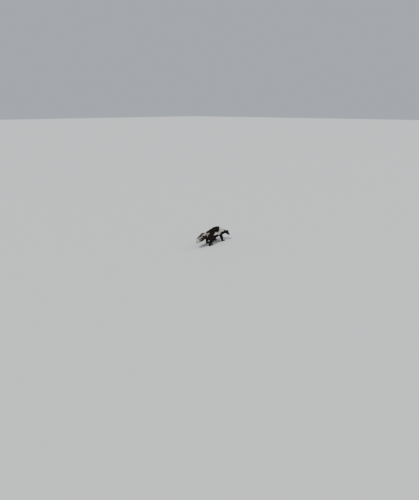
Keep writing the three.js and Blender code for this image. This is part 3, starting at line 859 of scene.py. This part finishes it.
tone = evened(whiteness(), 1)
lie, hairLength, hairHeight, hairWidth = coatFields()
normals = unit(evened(valuesOf(skin.data.vertices, "normal", 3), 2))
lie = unit(evened(lie, 12))
lie = unit(lie + np.cross(normals, lie) * (drift(*variety["lie"]) + drift(*variety["lieFine"]))[:, None])
hairLength, hairHeight, hairWidth = (evened(v, 8) for v in (hairLength, hairHeight, hairWidth))
hairLength *= 1 + drift(*variety["length"])
hairHeight *= 1 + drift(*variety["height"])
# the painted sheen, by part of the body, eased and waved
sheenBrown = [paintedSheen["tail"], lookUp(paintedSheen["trunk"], share), paintedSheen["hindLegs"]]
warm = np.select([region == "tail", region == "trunk", isHind], sheenBrown, paintedSheen["other"])
warm = np.clip(evened(warm, 20) + drift(*variety["sheenBrown"]), 0, 1)
free = [lookUp(looseHair["tail"], share), looseHair["ear"]]
loose = np.select([region == "tail", region == "ear"], free, 0.0)
for name, values in (("tone", tone), ("warm", warm), ("loose", loose), ("lie", lie), ("outward", normals),
                     ("hairLength", hairLength / 1000), ("hairHeight", hairHeight / 1000),
                     ("hairWidth", hairWidth / 1000)):
    keepOnPoints(skin.data, name, values)
place, corners, faceStarts = unwrapSkin()
sheet = skin.data.attributes.new("unwrap", "FLOAT_VECTOR", "CORNER")
sheet.data.foreach_set("vector", np.column_stack([place, np.zeros(len(place))]).astype(np.float32).ravel())
print("coat fields kept")

# Materials
coatColours = {  # linear; a pair is the range from hair to hair
    "black": ((0.005, 0.0042, 0.0042), (0.014, 0.0105, 0.0095)),
    # brown: painted sheen, the glint of light on black hair put in as colour
    "sheenBrown": ((0.02, 0.0125, 0.012), (0.06, 0.038, 0.034)),
    "darkTip": (0.03, 0.021, 0.017), "darkTipShare": 0.3,
    "pale": ((0.74, 0.7, 0.62), (0.93, 0.91, 0.85)),
    "paleRoot": (0.45, 0.39, 0.32), "paleRootShare": 0.35,
    "skinTip": 0.15,  # the share of a hair whose colour the skin takes
}
tuftLook = {"Roughness": 0.46, "Specular IOR Level": 0.22}
skinLook = {"Roughness": 0.75, "Specular IOR Level": 0.15}
grainForm = {"Scale": 900, "Detail": 3}
grainBump = {"Strength": 0.5, "Distance": 0.0006}
noseBump = {"Strength": 0.45, "Distance": 0.0003}
pebbleForm = {"Scale": 1700}
plainLooks = {  # colour, roughness, specular level
    "eye": ((0.004, 0.0028, 0.0022), 0.06, 0.32),
    "nose leather": ((0.009, 0.007, 0.007), 0.45, 0.3),
    "claw horn": ((0.16, 0.125, 0.1), 0.38, 0.5),
    "whisker": ((0.012, 0.01, 0.009), 0.4, 0.5),
    "floor": ((0.62, 0.62, 0.6), 0.9, 0.5),
}


def nodesOf(material):
    material.use_nodes = True
    nodes, links = material.node_tree.nodes, material.node_tree.links
    return nodes, links, nodes["Principled BSDF"]


def setInputs(node, values):
    for name, value in values.items():
        node.inputs[name].default_value = value


def attributeOf(nodes, name):
    node = nodes.new("ShaderNodeAttribute")
    node.attribute_type = "GEOMETRY"
    node.attribute_name = name
    return node.outputs["Fac"]


def mixColour(nodes, links, factor, a, b):
    node = nodes.new("ShaderNodeMix")
    node.data_type = "RGBA"
    for socket, value in ((node.inputs[0], factor), (node.inputs[6], a), (node.inputs[7], b)):
        if isinstance(value, bpy.types.NodeSocket):
            links.new(value, socket)
        else:
            socket.default_value = (*value, 1) if isinstance(value, tuple) else value
    return node.outputs[2]


def pelageGroup():
    # the coat's colours, which skin and tufts share: tone is white, warm is the painted sheen on the black
    # hair, tip is the share of a hair
    group = bpy.data.node_groups.new("pelage", "ShaderNodeTree")
    for name, value in (("Tone", 0.0), ("Warm", 0.0), ("Tip", 0.5), ("Chance", 0.5)):
        socket = group.interface.new_socket(name, in_out="INPUT", socket_type="NodeSocketFloat")
        socket.default_value = value
    group.interface.new_socket("Colour", in_out="OUTPUT", socket_type="NodeSocketColor")
    nodes, links = group.nodes, group.links
    given, out = nodes.new("NodeGroupInput"), nodes.new("NodeGroupOutput")
    tone, warm, tip, chance = (given.outputs[name] for name in ("Tone", "Warm", "Tip", "Chance"))
    black = mixColour(nodes, links, chance, *coatColours["black"])
    sheenBrown = mixColour(nodes, links, chance, *coatColours["sheenBrown"])
    faded = nodes.new("ShaderNodeMath")
    faded.operation = "MULTIPLY"
    links.new(tip, faded.inputs[0])
    faded.inputs[1].default_value = coatColours["darkTipShare"]
    # warm mixes the brown of the painted sheen into the black
    dark = mixColour(nodes, links, warm, black, sheenBrown)
    dark = mixColour(nodes, links, faded.outputs[0], dark, coatColours["darkTip"])
    pale = mixColour(nodes, links, chance, *coatColours["pale"])
    root = mixColour(nodes, links, coatColours["paleRootShare"], pale, coatColours["paleRoot"])
    pale = mixColour(nodes, links, tip, root, pale)
    links.new(mixColour(nodes, links, tone, dark, pale), out.inputs["Colour"])
    return group


pelage = pelageGroup()


def tuftMaterial():
    material = bpy.data.materials.new("tufts")
    nodes, links, shader = nodesOf(material)
    colour = nodes.new("ShaderNodeGroup")
    colour.node_tree = pelage
    for name in ("Tone", "Warm", "Tip", "Chance"):
        links.new(attributeOf(nodes, "tuft" + name), colour.inputs[name])
    links.new(colour.outputs["Colour"], shader.inputs["Base Color"])
    setInputs(shader, tuftLook)
    return material


def addBump(material, texture, form, height, strength):
    # a fine relief from one texture on the object's own coordinates
    nodes, links, shader = nodesOf(material)
    where, pattern, bump = (nodes.new(kind) for kind in ("ShaderNodeTexCoord", texture, "ShaderNodeBump"))
    setInputs(pattern, form)
    setInputs(bump, strength)
    links.new(where.outputs["Object"], pattern.inputs["Vector"])
    links.new(pattern.outputs[height], bump.inputs["Height"])
    links.new(bump.outputs["Normal"], shader.inputs["Normal"])
    return pattern.outputs[height]


def skinMaterial():
    # short flat fur: the coat's colours with a fine grain that shows as bump
    material = bpy.data.materials.new("furred skin")
    nodes, links, shader = nodesOf(material)
    grain = addBump(material, "ShaderNodeTexNoise", grainForm, "Fac", grainBump)
    colour = nodes.new("ShaderNodeGroup")
    colour.node_tree = pelage
    links.new(attributeOf(nodes, "tone"), colour.inputs["Tone"])
    # warm: the painted sheen on the black
    links.new(attributeOf(nodes, "warm"), colour.inputs["Warm"])
    links.new(grain, colour.inputs["Chance"])
    colour.inputs["Tip"].default_value = coatColours["skinTip"]
    links.new(colour.outputs["Colour"], shader.inputs["Base Color"])
    setInputs(shader, skinLook)
    return material


def plainMaterial(name):
    colour, roughness, specular = plainLooks[name]
    material = bpy.data.materials.new(name)
    nodes, links, shader = nodesOf(material)
    setInputs(shader, {"Base Color": (*colour, 1), "Roughness": roughness, "Specular IOR Level": specular})
    return material


tuftFinish, skinFinish, noseFinish = tuftMaterial(), skinMaterial(), plainMaterial("nose leather")
addBump(noseFinish, "ShaderNodeTexVoronoi", pebbleForm, "Distance", noseBump)
eyeFinish, clawFinish, whiskerFinish = (plainMaterial(name) for name in ("eye", "claw horn", "whisker"))
finished(skin, skinFinish)


# Tufts: one slim closed lock, longest along y, that the tree lays on the skin
tuftForm = {
    "sides": 3, "half": 0.5, "ridge": 0.28,  # shares of the width
    # stations: shares of the length, of the width and of the rise
    "body": [(0, 0, -0.15), (0.26, 1, 0.36), (0.64, 0.85, 0.84), (1, 0, 1)],
    "short": [(0, 0, -0.25), (0.42, 1, 0.62), (1, 0, 1)],
}


def tuftObject(name):
    stations, sides = tuftForm[name], tuftForm["sides"]
    verts = [(0, stations[0][0], 0)]
    for along, wide, rise in stations[1:-1]:
        for i in range(sides):
            q = math.pi / 2 + i * 2 * math.pi / sides
            x, z = math.cos(q) * wide * tuftForm["half"], math.sin(q) * wide * tuftForm["ridge"]
            verts.append((x, along, z))
    verts.append((0, stations[-1][0], 0))
    rings = [[1 + row * sides + i for i in range(sides)] for row in range(len(stations) - 2)]
    faces = [(0, rings[0][i], rings[0][(i + 1) % sides]) for i in range(sides)]
    for a, b in zip(rings, rings[1:]):
        faces += [(a[i], b[i], b[(i + 1) % sides], a[(i + 1) % sides]) for i in range(sides)]
    faces += [(rings[-1][i], len(verts) - 1, rings[-1][(i + 1) % sides]) for i in range(sides)]
    item = meshObject(name + " tuft", verts, faces)
    turnOut(item)
    local = valuesOf(item.data.vertices, "co", 3)
    keepOnPoints(item.data, "local", local)
    keepOnPoints(item.data, "rise", lookUp([(along, rise) for along, wide, rise in stations], local[:, 1]))
    item.hide_render = True
    return item


class TreeMaker:
    # short names for building a geometry tree
    def __init__(self, name):
        self.tree = bpy.data.node_groups.new(name, "GeometryNodeTree")
        self.tree.interface.new_socket("Geometry", in_out="OUTPUT", socket_type="NodeSocketGeometry")

    def given(self, sockets):
        for name, kind, value in sockets:
            socket = self.tree.interface.new_socket(name, in_out="INPUT", socket_type="NodeSocket" + kind)
            if value is not None:
                socket.default_value = value
        return self.tree.nodes.new("NodeGroupInput").outputs

    def node(self, kind, inputs=None, **settings):
        node = self.tree.nodes.new(kind)
        for key, value in settings.items():
            setattr(node, key, value)
        for key, value in (inputs or {}).items():
            socket = node.inputs[key]
            if isinstance(value, bpy.types.NodeSocket):
                self.tree.links.new(value, socket)
            else:
                socket.default_value = value
        return node

    def attribute(self, name, kind="FLOAT"):
        node = self.node("GeometryNodeInputNamedAttribute", {"Name": name}, data_type=kind)
        return node.outputs["Attribute"]

    def vectorOf(self, name):
        return self.attribute(name, "FLOAT_VECTOR")

    def keep(self, geometry, name, value, kind="FLOAT", domain="POINT"):
        inputs = {"Geometry": geometry, "Name": name, "Value": value}
        node = self.node("GeometryNodeStoreNamedAttribute", inputs, data_type=kind, domain=domain)
        return node.outputs["Geometry"]

    def number(self, operation, a, b=0.0, clamp=False):
        return self.node("ShaderNodeMath", {0: a, 1: b}, operation=operation, use_clamp=clamp).outputs[0]

    def vector(self, operation, a, b=None, scale=None):
        inputs = {0: a}
        if b is not None:
            inputs[1] = b
        if scale is not None:
            inputs[3] = scale
        node = self.node("ShaderNodeVectorMath", inputs, operation=operation)
        return node.outputs["Value" if operation in ("DOT_PRODUCT", "LENGTH") else "Vector"]

    def chance(self, low, high, seed):
        node = self.node("FunctionNodeRandomValue", {2: low, 3: high, 8: seed}, data_type="FLOAT")
        return node.outputs[1]


layForm = {
    "long": (0.72, 1.2), "wide": (0.7, 1.25), "rise": (0.35, 1.15),  # the least and most of a tuft's chance
    "toneEdge": 5.0,  # how sharply a tuft is dark or white
    "missed": 0.5, "past": 1.6,  # what loose hair keeps of its reach past the skin
    "patch": 0.003,  # of the sheet, for each tuft
}


def coatTree():
    make = TreeMaker("lay coat")
    given = make.given([
        ("Skin", "Geometry", None), ("Tuft", "Object", None), ("Tufts per m2", "Float", 100000.0),
        ("Length", "Float", 1.0), ("Width", "Float", 1.0), ("Rise", "Float", 1.0), ("Sway", "Float", 0.1),
        ("Raggedness", "Float", 0.5), ("Seed", "Int", 1), ("Material", "Material", None),
    ])
    seed = given["Seed"]
    chosen = make.node("FunctionNodeCompare", {0: make.attribute("cover"), 1: 0.5},
                       data_type="FLOAT", operation="GREATER_THAN").outputs[0]
    spread = make.node("GeometryNodeDistributePointsOnFaces", {
        "Mesh": given["Skin"], "Selection": chosen, "Density": given["Tufts per m2"], "Seed": seed,
    }, distribute_method="RANDOM")
    points, normal = spread.outputs["Points"], spread.outputs["Normal"]
    lieHere = make.vectorOf("lie")
    against = make.vector("DOT_PRODUCT", lieHere, normal)
    pressed = make.number("MULTIPLY", against, make.number("SUBTRACT", 1.0, make.attribute("loose")))
    pressed = make.vector("SCALE", normal, scale=pressed)
    flat = make.vector("NORMALIZE", make.vector("SUBTRACT", lieHere, pressed))
    across = make.vector("NORMALIZE", make.vector("CROSS_PRODUCT", flat, normal))
    position = make.node("GeometryNodeInputPosition").outputs[0]
    seeds = [make.number("ADD", seed, float(i)) for i in range(1, 7)]
    length = make.number("MULTIPLY", make.attribute("hairLength"), given["Length"])
    length = make.number("MULTIPLY", length, make.chance(*layForm["long"], seeds[0]))
    width = make.number("MULTIPLY", make.attribute("hairWidth"), given["Width"])
    width = make.number("MULTIPLY", width, make.chance(*layForm["wide"], seeds[1]))
    ragged = make.number("MULTIPLY", make.chance(-0.5, 0.5, seeds[2]), given["Raggedness"])
    toneHere = make.number("ADD", make.number("SUBTRACT", make.attribute("tone"), 0.5), ragged)
    toneHere = make.number("MULTIPLY", toneHere, layForm["toneEdge"])
    toneHere = make.number("ADD", toneHere, 0.5, clamp=True)
    rise = make.number("MULTIPLY", make.chance(*layForm["rise"], seeds[3]), given["Rise"])
    sway = make.number("MULTIPLY", make.chance(-1.0, 1.0, seeds[4]), given["Sway"])
    # warm: the painted sheen, carried on to each tuft
    loose, warm, chance = make.attribute("loose"), make.attribute("warm"), make.chance(0.0, 1.0, seeds[5])
    for name, value in (("rootLength", length), ("rootWidth", width), ("rootRise", rise),
                        ("rootSway", sway), ("rootLoose", loose), ("tuftTone", toneHere),
                        ("tuftWarm", warm), ("tuftChance", chance)):
        points = make.keep(points, name, value)
    for name, value in (("rootAt", position), ("rootLie", flat), ("rootAcross", across),
                        ("rootSheet", make.vectorOf("unwrap"))):
        points = make.keep(points, name, value, "FLOAT_VECTOR")
    tuft = make.node("GeometryNodeObjectInfo", {"Object": given["Tuft"]}).outputs["Geometry"]
    placed = make.node("GeometryNodeInstanceOnPoints", {"Points": points, "Instance": tuft})
    solid = make.node("GeometryNodeRealizeInstances", {"Geometry": placed.outputs["Instances"]})
    # each corner of a tuft runs out from the root, then is set down on the skin under it and raised
    x, y, z = make.node("ShaderNodeSeparateXYZ", {0: make.vectorOf("local")}).outputs
    rootLength, rootWidth = make.attribute("rootLength"), make.attribute("rootWidth")
    rootLie = make.vectorOf("rootLie")
    out = make.vector("SCALE", rootLie, scale=make.number("MULTIPLY", rootLength, y))
    bend = make.number("MULTIPLY", make.number("MULTIPLY", y, y),
                       make.number("MULTIPLY", rootLength, make.attribute("rootSway")))
    aside = make.vector("SCALE", make.vectorOf("rootAcross"),
                        scale=make.number("ADD", bend, make.number("MULTIPLY", rootWidth, x)))
    raw = make.vector("ADD", make.vectorOf("rootAt"), make.vector("ADD", out, aside))

    def under(value, kind):
        node = make.node("GeometryNodeSampleNearestSurface", {"Mesh": given["Skin"], "Sample Position": raw},
                         data_type=kind)
        make.tree.links.new(value, next(s for s in node.inputs if s.name == "Value" and s.enabled))
        return next(s for s in node.outputs if s.name == "Value" and s.enabled)

    ground = under(make.node("GeometryNodeInputPosition").outputs[0], "FLOAT_VECTOR")
    upward = under(make.vectorOf("outward"), "FLOAT_VECTOR")
    depth = under(make.attribute("hairHeight"), "FLOAT")
    high = make.number("MULTIPLY", depth, make.attribute("rise"))
    high = make.number("MULTIPLY", high, make.attribute("rootRise"))
    high = make.number("ADD", high, make.number("MULTIPLY", rootWidth, z))
    missed = make.vector("SUBTRACT", raw, ground)
    over = make.number("SUBTRACT", make.vector("DOT_PRODUCT", missed, rootLie),
                       make.number("MULTIPLY", make.vector("LENGTH", missed), layForm["missed"]))
    over = make.number("MULTIPLY", make.number("MAXIMUM", over, 0.0),
                       make.number("MULTIPLY", make.attribute("rootLoose"), layForm["past"]))
    laid = make.vector("ADD", ground, make.vector("SCALE", upward, scale=high))
    laid = make.vector("ADD", laid, make.vector("SCALE", rootLie, scale=over))
    moved = make.node("GeometryNodeSetPosition", {"Geometry": solid.outputs["Geometry"], "Position": laid})
    patch = make.node("ShaderNodeCombineXYZ", {
        0: make.number("MULTIPLY", x, layForm["patch"]),
        1: make.number("MULTIPLY", make.number("SUBTRACT", y, 0.5), layForm["patch"]),
    }).outputs[0]
    moved = make.keep(moved.outputs["Geometry"], "tuftTip", y)
    onSheet = make.vector("ADD", make.vectorOf("rootSheet"), patch)
    moved = make.keep(moved, "OFBake", onSheet, "FLOAT2", "CORNER")
    done = make.node("GeometryNodeSetMaterial", {"Geometry": moved, "Material": given["Material"]})
    make.node("NodeGroupOutput", {"Geometry": done.outputs["Geometry"]})
    return make.tree


def setInput(modifier, name, value):
    socket = next(s for s in modifier.node_group.interface.items_tree
                  if s.item_type == "SOCKET" and s.in_out == "INPUT" and s.name == name)
    modifier[socket.identifier] = value


layCoat = coatTree()
bodyTuft, shortTuft = tuftObject("body"), tuftObject("short")

# Which faces each piece of coat covers; nose, lips, soles and the rims of the lids stay bare
bareForm = {"nose": 1.12, "lid": 0.6, "lidFacing": 0.76, "sole": -0.5,
            "lip": 0.9, "lipStretch": (0.6, 0.4, 1)}
shoulder = 0.6  # share of the trunk, from where its coat is the nape's
first = corners[faceStarts]
faceRegion, faceHead, facePaw = region[first], inHead[first], isPaw[first]
faceArea = valuesOf(skin.data.polygons, "area")
bare = np.linalg.norm((faceHead - noseForm["at"]) / np.array(noseForm["radii"]), axis=1) < bareForm["nose"]
for side in (1, -1):
    fromEye = faceHead - np.array((eyeAt.x, eyeAt.y * side, eyeAt.z))
    reach = np.linalg.norm(fromEye, axis=1)
    facing = fromEye @ unit(np.array(eyePlace["faces"]) * (1, side, 1)) / np.maximum(reach, 1e-6)
    bare |= (reach < eyeRadius + headForm["lid"] + bareForm["lid"]) & (facing > bareForm["lidFacing"])
x, y, z = faceHead[:, 0], np.abs(faceHead[:, 1]), faceHead[:, 2]
for at in splineAt(headForm["mouth"], np.linspace(0, 1, 60), True):
    fromLip = np.column_stack([x - at[0], y - at[1], z - at[2]]) * bareForm["lipStretch"]
    bare |= np.linalg.norm(fromLip, axis=1) < bareForm["lip"]
bare |= facePaw & (valuesOf(skin.data.polygons, "normal", 3)[:, 2] < bareForm["sole"])

isTrunk, isTail, isHead = faceRegion == "trunk", faceRegion == "tail", np.isin(faceRegion, ("head", "ear"))
isFore, isHind = (np.char.startswith(faceRegion, end) for end in ("fore", "hind"))
isFront, isLeft = share[first] > shoulder, onLeft(turn[first])
coats = [
    {"name": "coat_back_left", "faces": isTrunk & ~isFront & isLeft, "tuft": bodyTuft,
     "count": 16200, "width": 0.74, "rise": 1.0, "sway": 0.12, "seed": 11},
    {"name": "coat_back_right", "faces": isTrunk & ~isFront & ~isLeft, "tuft": bodyTuft,
     "count": 16200, "width": 0.74, "rise": 1.0, "sway": 0.12, "seed": 23},
    {"name": "coat_nape", "faces": isTrunk & isFront, "tuft": bodyTuft,
     "count": 16200, "width": 0.72, "rise": 1.0, "sway": 0.12, "seed": 31},
    {"name": "coat_tail_left", "faces": isTail & isLeft, "tuft": bodyTuft,
     "count": 16200, "width": 0.62, "rise": 1.1, "sway": 0.11, "seed": 37},
    {"name": "coat_tail_right", "faces": isTail & ~isLeft, "tuft": bodyTuft,
     "count": 16200, "width": 0.62, "rise": 1.1, "sway": 0.11, "seed": 41},
    {"name": "coat_head", "faces": isHead & ~bare, "tuft": shortTuft,
     "count": 31500, "width": 0.64, "rise": 1.0, "sway": 0.14, "seed": 53},
    {"name": "coat_fore_legs", "faces": isFore & ~facePaw, "tuft": bodyTuft,
     "count": 9000, "width": 0.78, "rise": 1.0, "sway": 0.12, "seed": 67},
    {"name": "coat_hind_legs", "faces": isHind & ~facePaw, "tuft": bodyTuft,
     "count": 12000, "width": 0.78, "rise": 1.0, "sway": 0.12, "seed": 71},
    {"name": "coat_paws", "faces": facePaw & ~bare, "tuft": shortTuft,
     "count": 13000, "width": 0.85, "rise": 1.0, "sway": 0.12, "seed": 83},
]


def layPiece(coat):
    mesh = skin.data.copy()
    layer = mesh.attributes.new("cover", "FLOAT", "FACE")
    layer.data.foreach_set("value", coat["faces"].astype(np.float32))
    item = linked(coat["name"], mesh)
    laid = item.modifiers.new("coat", "NODES")
    laid.node_group = layCoat
    area = faceArea[coat["faces"]].sum()
    for name, value in (("Tuft", coat["tuft"]), ("Tufts per m2", float(coat["count"] / area)),
                        ("Width", coat["width"]), ("Rise", coat["rise"]), ("Sway", coat["sway"]),
                        ("Seed", coat["seed"]), ("Material", tuftFinish)):
        setInput(laid, name, value)
    applied(item)
    keep = {"OFBake", "tuftTone", "tuftWarm", "tuftTip", "tuftChance", "position"}
    for layer in [a.name for a in item.data.attributes if a.name not in keep and not a.is_required
                  and not a.name.startswith(".")]:
        item.data.attributes.remove(item.data.attributes[layer])
    finished(item, tuftFinish)
    print(coat["name"], "laid:", len(item.data.polygons), "faces")
    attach(item, "root")
    return item


coatPieces = [layPiece(coat) for coat in coats]
for helper in (bodyTuft, shortTuft):
    dropped(helper)


# Eyes, nose, claws and whiskers
def buildEye(name, matrix):
    eye = ball(name, (eyeRadius,) * 3, eyeAt, matrix, around=48, down=32)
    return finished(eye, eyeFinish)


def buildNose():
    at = Vector(noseForm["at"])
    nose = ball("nose_pad", noseForm["radii"], at, headToFrame, around=64, down=40)
    inverse = headToFrame.inverted()
    dip, wings, front = noseForm["groove"], noseForm["wing"], noseForm["front"]
    for v in nose.data.vertices:
        p = inverse @ v.co - at
        groove = math.exp(-(p.y / dip["half"]) ** 2) * max(0, min(1, (dip["from"] - p.z) / dip["over"]))
        groove = groove * max(0, p.x) / dip["reach"]
        wing = math.exp(-((abs(p.y) - wings["at"][0]) / wings["size"][0]) ** 2
                        - ((p.z - wings["at"][1]) / wings["size"][1]) ** 2)
        flat = max(0, p.x - front["from"]) * front["flat"]
        ahead = -dip["deep"] * groove + wings["ahead"] * wing - flat
        p += Vector((ahead, math.copysign(wings["aside"] * wing, p.y), 0))
        v.co = headToFrame @ (p + at)
    line = [(at.x + x, y, at.z + z) for x, y, z, r in noseForm["nostril"]]
    nostril = Form(line, [(r,) * 3 for x, y, z, r in noseForm["nostril"]])
    for matrix in headSides:
        cut(nose, loft("nostril", nostril, 16, 20, endRound=1, matrix=matrix))
    return finished(nose, noseFinish)


clawForm = {"curl": 1.15, "drop": 0.34, "thick": 1.7, "taper": 0.8, "tip": 0.12, "narrow": 0.62, "steps": 8,
            "from": (0.5, 0, 1.2)}  # from the tip of the toe


def buildClaws(name, paw):
    place = pawPlace(name)
    line, radii = [], []
    for i in range(clawForm["steps"] + 1):
        t = i / clawForm["steps"]
        x = paw["claw"] * math.sin(t * clawForm["curl"]) / math.sin(clawForm["curl"])
        line.append((x, 0, -paw["claw"] * clawForm["drop"] * t * t))
        thick = clawForm["thick"] * (1 - t) ** clawForm["taper"] + clawForm["tip"]
        radii.append((thick * clawForm["narrow"], thick, thick))
    parts = []
    for finger, tip, bend in pawForms(paw)[1]:
        root = [a + b for a, b in zip(tip, clawForm["from"])]
        turned = place @ Matrix.Translation(root) @ Matrix.Rotation(bend, 4, "Z")
        parts.append(loft("claw", Form(line, radii), 12, 14, caps=2, matrix=turned))
    return finished(joined("claws_" + name, parts), clawFinish)


whiskers = {
    "rows": 4, "perRow": 4, "seed": 5,
    "thick": 0.17, "thinner": 0.8, "long": (14, 27), "longer": (0.7, 0.15),
    "along": 0.98, "apart": 0.05, "stray": 0.006,  # shares of the skull
    "turn": 72, "rowApart": 14,  # degrees
    "deep": 1.8, "back": (0.5, 0.15), "down": 0.1, "sag": (-0.3, 0, -0.35),
}


def buildWhiskers():
    draw = np.random.default_rng(whiskers["seed"])
    least, more = whiskers["longer"]
    back, backMore = whiskers["back"]
    steps = (0, 0.35, 0.7, 1)
    radii = [(whiskers["thick"] * (1 - whiskers["thinner"] * t),) * 3 for t in steps]
    parts = []
    for matrix in headSides:
        for row in range(whiskers["rows"]):
            turn = np.array([math.radians(whiskers["turn"] + whiskers["rowApart"] * row)])
            for i in range(whiskers["perRow"]):
                stray = draw.uniform(-whiskers["stray"], whiskers["stray"])
                along = np.array([whiskers["along"] - whiskers["apart"] * i + stray])
                at, out, _ = skull.surfaceAt(along, turn, -whiskers["deep"])
                root, out = Vector(at[0]), Vector(out[0])
                long = draw.uniform(*whiskers["long"]) * (least + more * i)
                way = (out + Vector((-back - backMore * i, 0, -whiskers["down"] * row))).normalized()
                line = [root + way * long * t + Vector(whiskers["sag"]) * long * t * t for t in steps]
                parts.append(loft("whisker", Form(line, radii), 5, 8, caps=1, matrix=matrix))
    return finished(joined("whiskers", parts), whiskerFinish)


eyes = [buildEye(name, side) for name, side in zip(("eyeball_left", "eyeball_right"), headSides)]
nosePiece = buildNose()
clawPieces = [buildClaws(name, leg["paw"]) for name, leg in legs.items()]
whiskerPiece = buildWhiskers()
print("eyes, nose, claws and whiskers made")

for item in (skin, *eyes, nosePiece, *clawPieces, whiskerPiece):
    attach(item, "root")
fleshNodes = [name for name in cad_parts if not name.startswith(("eye", "nose"))]
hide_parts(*fleshNodes)
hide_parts("eye_left")
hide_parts("eye_right")
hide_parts("nose")

# Plain pale floor and plain soft light
studio = {
    "floor": 60,  # metres, half its side
    "sky": (0.75, 0.8, 0.9), "skyStrength": 0.6,
    "lamps": [  # size and turns in degrees
        {"name": "key", "strength": 2.8, "size": 16, "turned": (38, 0, -75)},
        {"name": "fill", "strength": 0.7, "size": 35, "turned": (50, 0, 60)},
    ],
}


def buildStudio():
    far = studio["floor"]
    corners = [(-far, -far, 0), (far, -far, 0), (far, far, 0), (-far, far, 0)]
    ground = Matrix.Translation((0, 0, cadBox[0].z))
    floor = meshObject("floor", corners, [(0, 1, 2, 3)], ground, smooth=False)
    floor.data.materials.append(plainMaterial("floor"))
    world = bpy.data.worlds.new("sky")
    world.use_nodes = True
    setInputs(world.node_tree.nodes["Background"],
              {"Color": (*studio["sky"], 1), "Strength": studio["skyStrength"]})
    bpy.context.scene.world = world
    for lamp in studio["lamps"]:
        light = bpy.data.lights.new(lamp["name"], "SUN")
        light.energy = lamp["strength"]
        light.angle = math.radians(lamp["size"])
        item = linked(lamp["name"], light)
        item.rotation_euler = [math.radians(v) for v in lamp["turned"]]


buildStudio()
print("box of the solids", [round(v, 4) for c in cadBox for v in c])
